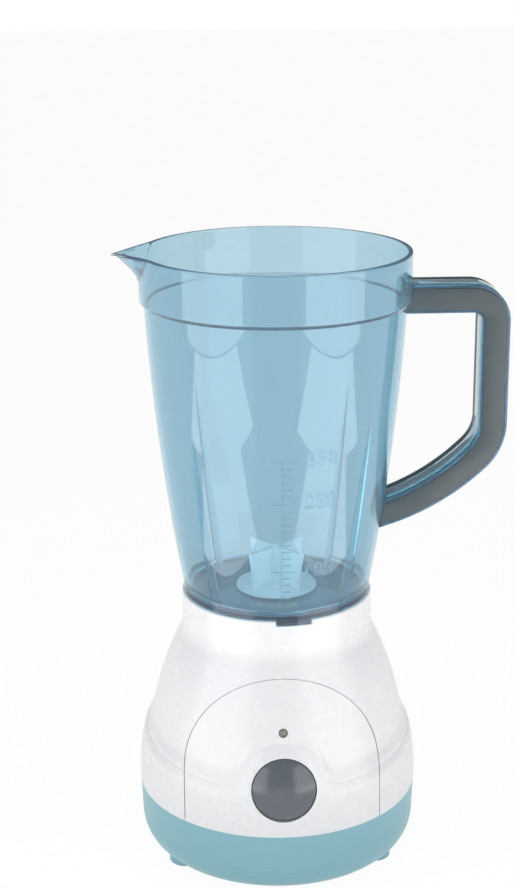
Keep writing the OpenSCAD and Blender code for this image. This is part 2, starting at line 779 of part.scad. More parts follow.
motor_top_z = bracket_z - 2 - SEAT;
module motor_shaft() {
  color("silver") translate([0, motor_y, motor_top_z - motor_h - 1.2])
    cylinder(r = motor_shaft_r, h = motor_h + 1.2 + gear_low_z + gear_w + 1 - motor_top_z);
}

boss_r = 3;
module motor() {
  color("silver") translate([0, motor_y, motor_top_z - motor_h]) difference() {
    union() {
      intersection() {
        cylinder(r = motor_w / 2, h = motor_h);
        translate([-motor_w, -motor_flat / 2, 0]) cube([2 * motor_w, motor_flat, motor_h]);
      }
      translate([0, 0, motor_h - 0.1]) cylinder(r = boss_r, h = 1.7);
      translate([0, 0, -2]) cylinder(r = boss_r, h = 2.1);
      for (side = [-1, 1]) translate([side * 6 - 0.25, -1.5, -4]) cube([0.5, 3, 4.1]);
    }
    translate([0, 0, -BIG / 2]) cylinder(r = motor_shaft_r + run_gap, h = BIG);
  }
}

lower_boss_r = 5.5;
lower_boss_h = 5;
arm_h = 14;
arm_t = 1.6;
module motor_bracket() {
  low_z = bracket_z - 2 - SEAT;
  color("gainsboro") difference() {
    union() {
      translate([0, 0, bracket_z - 2]) difference() {
        cylinder(r = bracket_ring + 5, h = 2 - SEAT);
        for (side = [-1, 1]) translate([side * 15, -9, -1]) cylinder(r = 5, h = 4);
      }
      translate([0, 0, bracket_z - lower_boss_h]) intersection() {
        cylinder(r = lower_boss_r, h = lower_boss_h - 0.5);
        translate([-BIG / 2, -BIG, 0]) cube([BIG, BIG + motor_y - motor_flat / 2 - 0.4, BIG]);
      }
      for (side = [-1, 1]) translate([side * (motor_w / 2 + arm_t / 2 + 0.1) - arm_t / 2, motor_y - 5, low_z - arm_h])
        cube([arm_t, 10, arm_h + 1]);
    }
    translate([0, motor_y, bracket_z - 10]) cylinder(r = boss_r + 0.1, h = 20);
    translate([0, 0, bracket_z - 20]) cylinder(r = bush_r + SEAT - 0.5, h = 40);
    for (a = bracket_angles) rotate(a) translate([bracket_ring, 0, bracket_z - 5])
      cylinder(r = bracket_screw_r + 0.15, h = 10);
  }
}

module bracket_screws() {
  color("silver") for (a = bracket_angles) rotate(a)
    translate([bracket_ring, 0, bracket_z - 2 - SEAT]) rotate([180, 0, 0]) screw(bracket_screw_r, 8.5, 2.2, 1.5);
}

module upper_bush() {
  color("goldenrod") translate([0, 0, z_seat - deck_t - deck_boss_h - 1]) difference() {
    union() {
      cylinder(r = bush_r, h = deck_t + deck_boss_h + 1);
      cylinder(r = bush_flange_r, h = 1 - SEAT);
    }
    translate([0, 0, -1]) cylinder(r = shaft_r + run_gap, h = BIG);
  }
}

module lower_bush() {
  r = bush_r - 0.5;
  color("goldenrod") translate([0, 0, bracket_z - lower_boss_h]) difference() {
    union() {
      cylinder(r = r, h = lower_boss_h);
      translate([0, 0, lower_boss_h]) cylinder(r = bush_flange_r, h = 1);
    }
    translate([0, 0, -1]) cylinder(r = shaft_r + run_gap, h = BIG);
  }
}

prong_inner = 4;
prong_h = 2.6;
prong_angle = 56;
plate_t = 1.5;
coupling_z = z_seat + 0.6;

// Three upright prongs, a little inside the plate's edge
prong_root = 0.5;
module prongs(h) {
  for (turn = [0, 120, 240]) rotate(turn) intersection() {
    tube(coupling_r - 0.4, prong_inner, h);
    translate([0, 0, -1]) linear_extrude(h + 2) polygon([[0, 0], [BIG / 4, -BIG / 4 * tan(prong_angle / 2)],
      [BIG / 4, BIG / 4 * tan(prong_angle / 2)]]);
  }
}

module drive_coupling() {
  color("ivory") translate([0, 0, coupling_z]) difference() {
    union() {
      cylinder(r = coupling_r, h = plate_t);
      translate([0, 0, plate_t - prong_root]) prongs(prong_h + prong_root);
    }
    translate([0, 0, -1]) cylinder(r = shaft_r + 0.02, h = plate_t + 0.6);
  }
}

module drive_shaft() {
  color("silver") translate([0, 0, bracket_z - lower_boss_h - 1])
    cylinder(r = shaft_r, h = coupling_z + plate_t - 0.5 - bracket_z + lower_boss_h + 1);
}

// A lead from each motor terminal to the board's back, and from each battery tag
lead_r = 0.7;
board_back = -board_depth - SEAT - board_t;
module motor_leads() {
  color("crimson") for (side = [-1, 1])
    wire([[side * 6, motor_y, motor_top_z - motor_h - 4.02 - lead_r],
      [side * 6, motor_y, motor_top_z - motor_h - 9],
      [side * 9, 0, z_button - 10],
      from_button(side * 9, -3, board_back - 8),
      from_button(side * 9, -3, board_back - 0.02)], lead_r);
}

module battery_leads() {
  top_z = room_top_z + box_wall + tag_up;
  color("black") for (tag = contact_tags)
    wire([[tag.x, tag.y, top_z + 0.02], [tag.x, tag.y, top_z + 3],
      [tag.x * 0.6, -24, z_button - 12],
      from_button(tag.x * 0.55, -7, board_back - 7),
      from_button(tag.x * 0.55, -7, board_back - 0.02)], lead_r);
}

/* ---- Jug ---- */

jug_levels = 14;
function jug_at(z) = let (t = (z - z_floor) / jug_h)
  jug_floor_r + (jug_top_r - jug_floor_r) * t + 4 * jug_bulge * t * (1 - t);
level_z = [for (i = [0 : jug_levels]) z_floor + jug_h * i / jug_levels];
skirt_r = neck_r - neck_wall - CLEAR;
skirt_low_z = z_seat + 0.2;
ledge_z = z_step + 2;
rim_round = 0.8;
collar_bead = 0.4;
bead_h = 1.2;

// The jug's outside, from its floor to the rim
module jug_outside() {
  rotate_extrude() polygon(concat(
    [[0, z_floor - jug_floor_t], [skirt_r - 0.5, z_floor - jug_floor_t], [skirt_r - 0.5, z_floor],
     [jug_floor_r + 0.6, z_floor], [jug_floor_r + 0.6, z_floor + bead_h]],
    [for (z = level_z) if (z > z_floor + bead_h) [jug_at(z), z]],
    arc(collar_r - collar_edge, z_step + collar_edge + collar_bead, collar_edge, collar_edge, -50, 0, 5),
    arc(collar_r - rim_round, z_rim - rim_round, rim_round, rim_round, 0, 90, 4),
    [[0, z_rim]]));
}

// The jug's room, open at the top
module jug_inside() {
  round = 3;
  rotate_extrude() polygon(concat(
    [[0, z_floor]],
    arc(jug_at(z_floor) - jug_wall - round, z_floor + round, round, round, -90, 0, 4),
    [for (z = level_z) if (z > z_floor + round) [jug_at(z) - jug_wall, z]],
    [[jug_top_r - jug_wall, ledge_z], [collar_r - jug_wall, ledge_z + 1],
     [collar_r - jug_wall, z_rim - rim_round / 2], [collar_r - jug_wall + rim_round / 2, z_rim],
     [collar_r - jug_wall + rim_round / 2, z_rim + 5], [0, z_rim + 5]]));
}

// The spout's wedge, drawn in by inset and open upwards by rise
module spout_wedge(inset, rise) {
  tip_r = 1.6 - inset * 0.4;
  mouth_r = collar_r - 1;
  hull() {
    translate([-spout_reach + 1.6 + inset, 0, z_rim - 2]) cylinder(r = tip_r, h = 1 + rise, $fn = ROUND);
    for (side = [-1, 1]) rotate(side * (spout_half_angle - inset * 1.2))
      translate([-mouth_r, 0, z_rim - 2]) cylinder(r = 0.4, h = 1.9 + rise, $fn = ROUND);
    translate([-mouth_r, 0, z_rim - spout_h + inset * 1.4]) sphere(r = 0.8, $fn = ROUND);
  }
}

// Centre line of the handle: points [x, z, angle of the outward side, half width]
top_bar_z = z_rim - top_bar_drop;
upper_centre = [grip_x - upper_bend, top_bar_z - upper_bend];
lower_centre = [grip_x - lower_bend, upper_centre.y - grip_h];
sweep_start = -45;
sweep_end = -71.5;
sweep_centre = lower_centre + (lower_bend - sweep_bend) * [cos(sweep_start), sin(sweep_start)];
function bend_line(centre, r, a0, a1, steps, w0, w1) =
  [for (i = [0 : steps]) let (t = i / steps, a = a0 + (a1 - a0) * t)
    [centre.x + r * cos(a), centre.y + r * sin(a), a, w0 + (w1 - w0) * t]];
handle_half = handle_w / 2;
handle_line = concat([[40, top_bar_z, 90, handle_half]],
  bend_line(upper_centre, upper_bend, 90, 0, 12, handle_half, handle_half),
  bend_line(lower_centre, lower_bend, 0, sweep_start, 6, handle_half, handle_half),
  bend_line(sweep_centre, sweep_bend, sweep_start, sweep_end, 6, handle_half, handle_end_w / 2),
  bend_line(sweep_centre, sweep_bend, sweep_end, sweep_end - 4, 1, handle_end_w / 2, handle_end_w / 2));

// The handle seen from the front, drawn in by border
module handle_outline(border = 0) {
  n = len(handle_line);
  polygon(concat(
    [for (i = [0 : n - 1]) let (p = handle_line[i], w = p[3] - border) [p[0] + w * cos(p[2]), p[1] + w * sin(p[2])]],
    [for (i = [n - 1 : -1 : 0]) let (p = handle_line[i], w = p[3] - border) [p[0] - w * cos(p[2]), p[1] - w * sin(p[2])]]));
}

// A slab of the handle's outline, from y0 back to y1
module handle_slab(y0, y1, border = 0) {
  translate([0, y1, 0]) rotate([90, 0, 0]) linear_extrude(y1 - y0) handle_outline(border);
}

handle_front = -(core_depth + cover_depth) / 2;
core_back = handle_front + core_depth;
plate_depth = 1.2;
plate_proud = 0.3;
peg_r = 1.2;
peg_places = [[grip_x, upper_centre.y - 6], [grip_x, lower_centre.y + 2], [66, top_bar_z]];
core_wall = 1.8;

// What the handle's plates leave free round the jug itself
module jug_keepout(gap) {
  rotate_extrude() polygon(concat([[0, z_floor], [jug_floor_r + gap, z_floor]],
    [for (z = level_z) if (z > z_floor) [jug_at(z) + gap, z]],
    [[collar_r + gap, z_step + 3], [collar_r + gap, z_rim], [0, z_rim]]));
}

module handle_core() {
  difference() {
    handle_slab(handle_front, core_back);
    // the recess for the front plate and the hollow behind it
    difference() {
      handle_slab(handle_front - 1, handle_front + plate_depth, plate_border);
      jug_keepout(0.2);
    }
    difference() {
      handle_slab(handle_front + plate_depth + core_wall, core_back + 1, core_wall);
      jug_keepout(0.5);
    }
  }
  for (p = peg_places) translate([p.x, core_back - 0.5, p.y]) rotate([90, 0, 0])
    tube(peg_r + 1.3, peg_r + 0.1, core_depth - plate_depth - core_wall);
}

module jug() {
  color([0.55, 0.78, 0.86, 0.6]) difference() {
    union() {
      difference() {
        union() {
          jug_outside();
          spout_wedge(0, 0);
          handle_core();
        }
        jug_inside();
        spout_wedge(1.5, 3);
      }
      // ribs inside the wall
      for (side = [-1, 1]) for (a = rib_angles) rotate(side * a - 90)
        rotate([90, 0, 0]) translate([0, 0, -rib_t / 2]) linear_extrude(rib_t)
          polygon(concat([[jug_at(z_floor) - jug_wall - rib_reach, z_floor - 0.5],
            [jug_at(z_floor) - jug_wall / 2 - 0.2, z_floor - 0.5]],
            [for (i = [1 : 4]) let (z = z_floor + rib_h * i / 4) [jug_at(z) - jug_wall / 2, z]],
            [[jug_at(z_floor + rib_h) - jug_wall, z_floor + rib_h - 1]]));
      // skirt, lugs and the bush's boss
      translate([0, 0, skirt_low_z]) tube(skirt_r, skirt_r - jug_wall, z_floor + 0.6 - skirt_low_z);
      lug_sector(0, z_neck - lug_h + 0.5, z_floor + 0.5, skirt_r - 0.5, neck_r - 0.2);
      translate([0, 0, boss_low_z]) cylinder(r = bush_r + 1.6, h = z_floor - boss_low_z);
    }
    translate([0, 0, boss_low_z - 1]) cylinder(r = bush_r + SEAT, h = BIG);
    translate([0, 0, z_floor - seal_depth]) cylinder(r = seal_r + SEAT, h = 5);
  }
}

module handle_plate() {
  color("dimgray") difference() {
    handle_slab(handle_front - plate_proud, handle_front + plate_depth - SEAT, plate_border + SEAT);
    jug_keepout(0.3);
  }
}

module handle_cover() {
  color("dimgray") difference() {
    union() {
      difference() {
        handle_slab(core_back + SEAT, core_back + cover_depth);
        handle_slab(core_back - 1, core_back + cover_depth - core_wall, core_wall);
      }
      for (p = peg_places) translate([p.x, core_back + cover_depth - 1, p.y]) rotate([90, 0, 0])
        cylinder(r = peg_r, h = cover_depth + core_depth - plate_depth - core_wall - 2);
    }
    jug_keepout(0.1);
  }
}

/* ---- Impeller ---- */

seal_r = 4.8;
seal_depth = 1.2;
driven_z = coupling_z + plate_t + prong_h + CLEAR;
boss_low_z = driven_z + plate_t + CLEAR;
impeller_z = z_floor + 0.6;
hub_r = 3.2;
knob_r = 2.4;
blade_top_z = z_floor + blade_h;

module impeller() {
  foot_z = impeller_z + 1.4;
  color("whitesmoke") difference() {
    union() {
      rotate_extrude() polygon([[0, impeller_z], [disc_r - 0.4, impeller_z], [disc_r, impeller_z + 0.3],
        [disc_r - 0.3, impeller_z + 0.8], [blade_foot, foot_z + 0.4], [hub_r, foot_z + 0.8], [0, foot_z + 0.8]]);
      for (turn = [0 : 90 : 270]) rotate(blade_angle + turn) rotate([90, 0, 0])
        translate([0, 0, -blade_t / 2]) linear_extrude(blade_t)
          polygon(concat([[1, foot_z - 0.4], [blade_foot - 0.4, foot_z - 0.2]],
            [for (i = [0 : 4]) let (t = i / 4)
              [blade_foot + (blade_reach - blade_foot) * t * t, foot_z + (blade_top_z - 1.2 - foot_z) * t]],
            [[blade_reach - 0.6, blade_top_z], [1, blade_top_z]]));
      translate([0, 0, impeller_z]) cylinder(r = hub_r, h = blade_top_z - 2.4 - impeller_z);
      translate([0, 0, blade_top_z + 0.9 - knob_r]) sphere(r = knob_r);
    }
    translate([0, 0, impeller_z - 1]) cylinder(r = shaft_r + 0.02, h = blade_h - 3);
  }
}

module impeller_shaft() {
  color("silver") translate([0, 0, driven_z - 1.6])
    cylinder(r = shaft_r, h = impeller_z + blade_h - 4.5 - driven_z + 1.6);
}

module impeller_bush() {
  color("white") translate([0, 0, boss_low_z]) tube(bush_r, shaft_r + run_gap, z_floor - seal_depth - SEAT - boss_low_z);
}

module shaft_seal() {
  color("black") translate([0, 0, z_floor - seal_depth + SEAT]) tube(seal_r, shaft_r + run_gap, seal_depth + 0.25);
}

module driven_coupling() {
  color("ivory") difference() {
    union() {
      translate([0, 0, driven_z]) cylinder(r = coupling_r, h = plate_t);
      translate([0, 0, driven_z - prong_h]) rotate(60) prongs(prong_h + prong_root);
      translate([0, 0, driven_z - 2.1]) cylinder(r = prong_inner - 0.4, h = 2.1 + prong_root);
    }
    translate([0, 0, driven_z - 1.6]) cylinder(r = shaft_r + 0.02, h = BIG);
  }
}

base_shell();
front_panel();
base_tub();
battery_door();
battery_door_screw();
battery_cells();
battery_springs();
battery_contacts();
housing_screws();
button();
button_spring();
push_switch();
switch_plunger();
circuit_board();
board_screws();
board_resistor();
indicator_lamp();
motor_bracket();
bracket_screws();
motor();
motor_shaft();
motor_pinion();
drive_gear();
drive_shaft();
drive_coupling();
upper_bush();
lower_bush();
motor_leads();
battery_leads();
jug();
handle_plate();
handle_cover();
impeller();
impeller_shaft();
impeller_bush();
shaft_seal();
driven_coupling();
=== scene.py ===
import json
import math

import bmesh
import bpy
from bpy.props import FloatProperty, FloatVectorProperty, PointerProperty
from mathutils import Matrix, Vector


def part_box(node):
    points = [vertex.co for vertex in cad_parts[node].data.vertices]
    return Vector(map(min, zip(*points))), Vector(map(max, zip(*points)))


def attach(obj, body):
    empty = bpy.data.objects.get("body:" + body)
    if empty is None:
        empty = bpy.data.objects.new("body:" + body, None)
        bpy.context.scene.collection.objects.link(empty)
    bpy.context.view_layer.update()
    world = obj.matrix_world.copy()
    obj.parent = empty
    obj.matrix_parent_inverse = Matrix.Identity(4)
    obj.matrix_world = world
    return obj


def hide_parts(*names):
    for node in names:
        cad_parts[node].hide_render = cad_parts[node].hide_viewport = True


bl_info = {
    "name": "Toy blender",
    "version": (1, 0, 0),
    "blender": (4, 5, 0),
    "location": "View3D > Sidebar > Toy blender",
    "description": "Dresses the toy blender: its moulded shells, clear jug, handle and studio",
    "category": "Object",
}

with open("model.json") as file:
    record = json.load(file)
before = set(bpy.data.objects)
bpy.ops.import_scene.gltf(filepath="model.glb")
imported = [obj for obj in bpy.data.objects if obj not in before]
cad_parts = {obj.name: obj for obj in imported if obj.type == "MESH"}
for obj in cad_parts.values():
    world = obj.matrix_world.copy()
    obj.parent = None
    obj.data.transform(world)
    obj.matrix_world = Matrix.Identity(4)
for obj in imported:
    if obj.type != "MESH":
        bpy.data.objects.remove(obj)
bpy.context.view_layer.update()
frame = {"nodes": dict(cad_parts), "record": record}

MM = 0.001
MICRON = 0.000001
TAU = 2 * math.pi
WHITE = (1.0, 1.0, 1.0, 1.0)

# Levels that the frame gives
Z_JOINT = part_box("base_shell")[0].z
Z_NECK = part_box("base_shell")[1].z
Z_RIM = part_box("jug")[1].z
Z_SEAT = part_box("drive_coupling")[0].z - 0.6 * MM
MOTOR_ROOM = 2.3 * MM

# Measures that several pieces share
LIP = 0.35 * MM
BUSH_HOLE = 4.05 * MM


def linear(code):
    """Turns a colour like #8fb4c0 from sRGB to linear."""
    parts = [int(code[i : i + 2], 16) / 255 for i in (1, 3, 5)]
    return tuple(c / 12.92 if c <= 0.04045 else ((c + 0.055) / 1.055) ** 2.4 for c in parts)


def length(words, value):
    """A length, given in millimetres."""
    return FloatProperty(description=words, default=value * MM, unit="LENGTH", precision=5)


def colour(words, code):
    return FloatVectorProperty(description=words, default=linear(code), subtype="COLOR", size=3)


def angular(words, degrees):
    return FloatProperty(description=words, default=math.radians(degrees), subtype="ANGLE")


def plain(words, value):
    return FloatProperty(description=words, default=value)


class BaseSizes(bpy.types.PropertyGroup):
    belt_radius: length("Radius of the belt at its lower edge", 60.3)
    belt_arc: length("Radius of the arc that draws the belt in", 90)
    crease_height: length("Height of the belt's upper edge above the joint", 27.6)
    crease_tilt: angular("Slope of the belt's upper edge, down towards the front", 5)
    crease_round: length("Height over which the belt's upper edge rounds over", 3.4)
    crease_step: length("How far the bulb lies inside the belt at its edge", 1.0)
    crease_fade: length("How far above the edge the bulb has its own radius again", 6.5)
    crease_drop: length("How much lower the belt's upper edge runs in front", 2.2)
    pad_radius: length("Radius of the round pad round the button", 18.4)
    pad_blend: length("How softly the pad runs into the belt's edge", 7.5)
    bulb_radius: length("Largest radius of the bulb", 56.8)
    bulb_arc: length("Radius of the arc of the bulb's side", 144)
    neck_radius: length("Outer radius of the neck", 40.4)
    neck_fillet: length("Radius of the hollow curve under the neck", 17.5)
    neck_wall: length("Thickness of the neck's wall", 1.9)
    wall: length("Thickness of the shell's wall", 2.1)
    panel_half: length("Half width of the arched front panel", 41)
    panel_rise: length("Height of the arch above the button's centre", 43.5)
    panel_gap: length("Width of the parting line round the panel", 0.25)


class ButtonSizes(bpy.types.PropertyGroup):
    height: length("Height of the button's centre above the joint", 20.7)
    tilt: angular("Angle by which the button faces up", 9)
    radius: length("Radius of the cap", 13.2)
    dome: length("Height of the cap's domed face", 3.7)
    edge: length("Level of the dome's edge against the panel", -1.5)
    gap: length("Gap round the cap", 0.3)
    lamp_radius: length("Radius of the indicator lamp", 1.85)
    lamp_up: length("Distance of the lamp above the button's centre", 23.5)
    lamp_face: length("Level of the lamp's face against the panel at the button", -3.6)


class JugSizes(bpy.types.PropertyGroup):
    floor_radius: length("Outer radius of the wall at the floor", 39.1)
    top_radius: length("Outer radius of the wall under the collar", 53.8)
    bulge: length("Bulge of the wall past a straight cone", 2)
    height: length("Height of the wall from the floor to the collar", 124.5)
    collar_radius: length("Outer radius of the collar", 55.7)
    collar_edge: length("Radius of the collar's rounded lower edge", 2)
    collar_step: length("Width of the flat step under the collar", 0.7)
    wall: length("Thickness of the wall", 1.9)
    floor: length("Thickness of the floor", 2.2)
    spout_reach: length("Distance of the spout's tip from the axis", 66.6)
    spout_height: length("Height of the spout down the collar", 13)
    spout_half_angle: angular("Half the angle that the spout takes of the rim", 22)
    rib_height: length("Height of the ribs above the floor", 81.5)
    rib_reach: length("Reach of a rib from the wall at the floor", 3.6)
    rib_thickness: length("Thickness of a rib", 1.4)
    rib_front: angular("Angle of the front ribs from the front", 46.3)
    rib_rear: angular("Angle of the rear ribs from the front", 136.3)
    mark_height: length("How far the scale stands proud of the wall", 0.36)


class HandleSizes(bpy.types.PropertyGroup):
    grip_x: length("Distance of the grip's centre line from the axis", 89.6)
    width: length("Width of the handle seen from the front", 11.6)
    end_width: length("Width of the handle where it meets the wall", 10.9)
    core_depth: length("Depth of the clear core", 13)
    cover_depth: length("Depth of the back cover", 5.3)
    border: length("Clear border round the front plate", 1.2)
    top_drop: length("Distance of the top bar's centre line below the rim", 19.9)
    upper_bend: length("Radius of the centre line in the upper corner", 9.5)
    grip_height: length("Length of the straight grip", 43.2)
    lower_bend: length("Radius of the centre line in the lower corner", 21)
    sweep_bend: length("Radius of the centre line along the lower bar", 98)


class ImpellerSizes(bpy.types.PropertyGroup):
    disc_radius: length("Radius of the disc", 17.2)
    blade_height: length("Height of the blades above the jug's floor", 18.4)
    blade_reach: length("Reach of a blade at its upper edge", 15.8)
    blade_foot: length("Reach of a blade at its foot", 13.9)
    blade_thickness: length("Thickness of a blade", 1.6)
    blade_angle: angular("Angle of the first blade from the handle's side", 42)


class Finishes(bpy.types.PropertyGroup):
    white: colour("White ABS of the shell, the panel and the impeller", "#f3f4f6")
    teal: colour("Teal ABS of the tub and its door", "#8cc0cc")
    button: colour("Dark grey ABS of the button", "#646a72")
    slate: colour("Grey ABS of the handle's plates", "#454f52")
    clear: colour("Tint that each wall of the jug gives the light", "#d2dce1")
    clear_deep: colour("Colour of the clear plastic where it is looked at along a wall", "#00ddf7")
    tint_density: plain("How strongly the clear plastic absorbs, per metre", 150.0)


class StudioSettings(bpy.types.PropertyGroup):
    lens: FloatProperty(description="Focal length of the camera", default=68.616, unit="CAMERA")
    pitch: angular("How far the camera looks down", 17.105)
    turn: angular("How far the camera turns to its right", 2.206)
    roll: angular("How far the camera leans to its left", -0.384)
    place: FloatVectorProperty(
        description="Where the camera stands",
        default=(-34.03 * MM, -676.74 * MM, 390.32 * MM),
        subtype="TRANSLATION",
        unit="LENGTH",
    )
    glow: plain("Radiance of the two softboxes", 1.98)
    low_glow: plain("Radiance of the two low panels", 2.2)
    top_glow: plain("Radiance of the panel overhead", 1.1)
    ambient: plain("Strength of the light from all around", 0.25)


# ---- Materials ----


def add(tree, kind, inputs=None, **settings):
    """Adds a node to tree, with its settings, input values and links."""
    made = tree.nodes.new("ShaderNode" + kind)
    for name, value in settings.items():
        setattr(made, name, value)
    for name, value in (inputs or {}).items():
        if isinstance(value, bpy.types.NodeSocket):
            tree.links.new(value, made.inputs[name])
        else:
            made.inputs[name].default_value = value
    return made


def new_material(name):
    """An empty node material with its shader and output, and the position that its patterns use."""
    material = bpy.data.materials.new(name)
    material.use_nodes = True
    tree = material.node_tree
    tree.nodes.clear()
    shader = add(tree, "BsdfPrincipled")
    add(tree, "OutputMaterial", {"Surface": shader.outputs["BSDF"]})
    place = add(tree, "TexCoord").outputs["Object"]
    return material, tree, shader, place


def rgba(value):
    return (value[0], value[1], value[2], 1.0)


def shade(value, factor):
    return (value[0] * factor, value[1] * factor, value[2] * factor, 1.0)


def blend_colours(tree, shader, factor, low, high):
    """Runs the base colour from low to high by factor."""
    mixed = add(tree, "Mix", {"Factor": factor}, data_type="RGBA")
    first, second = [s for s in mixed.inputs if s.type == "RGBA"]
    first.default_value = low
    second.default_value = high
    out = next(s for s in mixed.outputs if s.type == "RGBA")
    tree.links.new(out, shader.inputs["Base Color"])


def noise(tree, place, size, detail):
    """A noise pattern with blotches about size across."""
    pattern = {"Vector": place, "Scale": 1 / size, "Detail": detail}
    return add(tree, "TexNoise", pattern).outputs["Fac"]


def bump(tree, height, distance, strength, below=None):
    """A relief of that height pattern, on top of the relief below."""
    relief = {"Height": height, "Distance": distance, "Strength": strength}
    if below is not None:
        relief["Normal"] = below
    return add(tree, "Bump", relief).outputs["Normal"]


def vary_gloss(tree, shader, factor, span, roughness):
    """Runs the roughness between its two values while factor runs through span."""
    ends = {"From Min": span[0], "From Max": span[1], "To Min": roughness[0], "To Max": roughness[1]}
    gloss = add(tree, "MapRange", {"Value": factor, **ends})
    tree.links.new(gloss.outputs["Result"], shader.inputs["Roughness"])


def moulded_plastic(name, tint, roughness, grain, grain_depth, ior=1.54):
    """A moulded thermoplastic. The tool's surface gives it a fine grain of that size, the cooling
    gives broad faint waves, and handling leaves the gloss slightly uneven."""
    material, tree, shader, place = new_material(name)
    smear_size = 7 * MM
    wave_size = 18 * MM
    wave_depth = 40 * MICRON
    smears = noise(tree, place, smear_size, 4.0)
    blend_colours(tree, shader, smears, shade(tint, 0.965), shade(tint, 1.02))
    vary_gloss(tree, shader, smears, (0.3, 0.7), (roughness * 0.9, roughness * 1.15))
    waves = bump(tree, noise(tree, place, wave_size, 2.0), wave_depth, 0.6)
    fine = bump(tree, noise(tree, place, grain, 3.0), grain_depth, 0.5, waves)
    tree.links.new(fine, shader.inputs["Normal"])
    shader.inputs["IOR"].default_value = ior
    return material


def clear_plastic(name, finishes, tint, roughness, relief):
    """Clear polystyrene, tinted through. A lamp's light passes it, so that what stands behind or
    inside is lit. relief is the size, detail, depth and strength of its uneven surface."""
    material, tree, shader, place = new_material(name)
    shader.inputs["Base Color"].default_value = rgba(tint)
    shader.inputs["Transmission Weight"].default_value = 0.92
    shader.inputs["IOR"].default_value = 1.49
    shader.inputs["Roughness"].default_value = roughness
    size, detail, depth, strength = relief
    uneven = bump(tree, noise(tree, place, size, detail), depth, strength)
    tree.links.new(uneven, shader.inputs["Normal"])
    shadow = add(tree, "LightPath").outputs["Is Shadow Ray"]
    passed = add(tree, "BsdfTransparent", {"Color": WHITE})
    both = add(tree, "MixShader", {0: shadow, 1: shader.outputs["BSDF"], 2: passed.outputs["BSDF"]})
    deep = {"Color": rgba(finishes.clear_deep), "Density": finishes.tint_density}
    absorbed = add(tree, "VolumeAbsorption", deep)
    output = next(n for n in tree.nodes if n.type == "OUTPUT_MATERIAL")
    tree.links.new(both.outputs["Shader"], output.inputs["Surface"])
    tree.links.new(absorbed.outputs["Volume"], output.inputs["Volume"])
    return material


def clear_polystyrene(finishes):
    """Polished clear polystyrene: pale where it is looked through squarely, deep blue where the eye
    looks along a wall, with a faint ripple from the flow of the melt."""
    ripple = (26 * MM, 1.0, 120 * MICRON, 0.5)
    return clear_plastic("Clear blue polystyrene, polished", finishes, finishes.clear, 0.0, ripple)


def etched_polystyrene(finishes):
    """The same plastic where the mould was etched, as on the raised scale: it blurs what is behind."""
    etching = (0.6 * MM, 2.0, 60 * MICRON, 0.6)
    return clear_plastic("Clear blue polystyrene, etched", finishes, linear("#bcd3dd"), 0.2, etching)


def metal(name, tint, roughness, line, across=6.0):
    """A bare or plated metal, drawn or turned: fine lines run one way and stretch the highlights."""
    material, tree, shader, place = new_material(name)
    shader.inputs["Metallic"].default_value = 1.0
    stretched = add(tree, "Mapping", {"Vector": place, "Scale": (across, across, 1.0)})
    lines = noise(tree, stretched.outputs["Vector"], line, 3.0)
    blend_colours(tree, shader, lines, shade(tint, 0.88), shade(tint, 1.06))
    vary_gloss(tree, shader, lines, (0.0, 1.0), (roughness * 0.8, roughness * 1.3))
    tree.links.new(bump(tree, lines, 6 * MICRON, 0.4), shader.inputs["Normal"])
    return material


def white_abs(finishes):
    """White ABS from a polished mould: bright, with soft clear highlights."""
    return moulded_plastic("White ABS, polished mould", finishes.white, 0.26, 0.9 * MM, 3 * MICRON)


def teal_abs(finishes):
    """Teal ABS from a fine-etched mould: satin."""
    return moulded_plastic("Teal ABS, satin mould", finishes.teal, 0.34, 0.7 * MM, 10 * MICRON)


def button_abs(finishes):
    """Dark grey ABS with a smooth face, which mirrors the lamps as two soft patches."""
    return moulded_plastic("Dark grey ABS, smooth", finishes.button, 0.17, 0.9 * MM, 4 * MICRON)


def slate_abs(finishes):
    """Slate grey ABS with the fine matt grain of a spark-eroded mould. The grain of a fifth of a
    millimetre is drawn at twice its size, so that it shows."""
    return moulded_plastic("Slate grey ABS, eroded mould", finishes.slate, 0.42, 0.45 * MM, 16 * MICRON)


# ---- Meshes ----


def face_outwards(bm):
    """Turns every face of a closed mesh outwards."""
    bmesh.ops.recalc_face_normals(bm, faces=bm.faces)
    if bm.calc_volume(signed=True) < 0:
        bmesh.ops.reverse_faces(bm, faces=bm.faces)


def as_object(name, bm):
    """Makes bm an object of the scene."""
    mesh = bpy.data.meshes.new(name)
    bm.to_mesh(mesh)
    bm.free()
    obj = bpy.data.objects.new(name, mesh)
    bpy.context.scene.collection.objects.link(obj)
    return obj


def finish_mesh(name, bm, body, slot, sharp, material=None):
    """Makes bm a piece that rides on body, smooth except over sharp edges."""
    face_outwards(bm)
    limit = math.radians(sharp)
    for face in bm.faces:
        face.smooth = True
    for edge in bm.edges:
        edge.smooth = len(edge.link_faces) == 2 and edge.calc_face_angle(0.0) < limit
    obj = as_object(name, bm)
    obj.data.materials.append(material or finish(slot))
    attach(obj, body)
    return obj


def temporary(bm):
    """An object only for cutting, from bm."""
    face_outwards(bm)
    return as_object("cutter", bm)


def evaluated(obj, near):
    """A bmesh of obj with its modifiers, where points that are nearer than that are joined."""
    made = bpy.data.meshes.new_from_object(obj.evaluated_get(bpy.context.evaluated_depsgraph_get()))
    bm = bmesh.new()
    bm.from_mesh(made)
    bmesh.ops.remove_doubles(bm, verts=bm.verts, dist=near)
    return bm


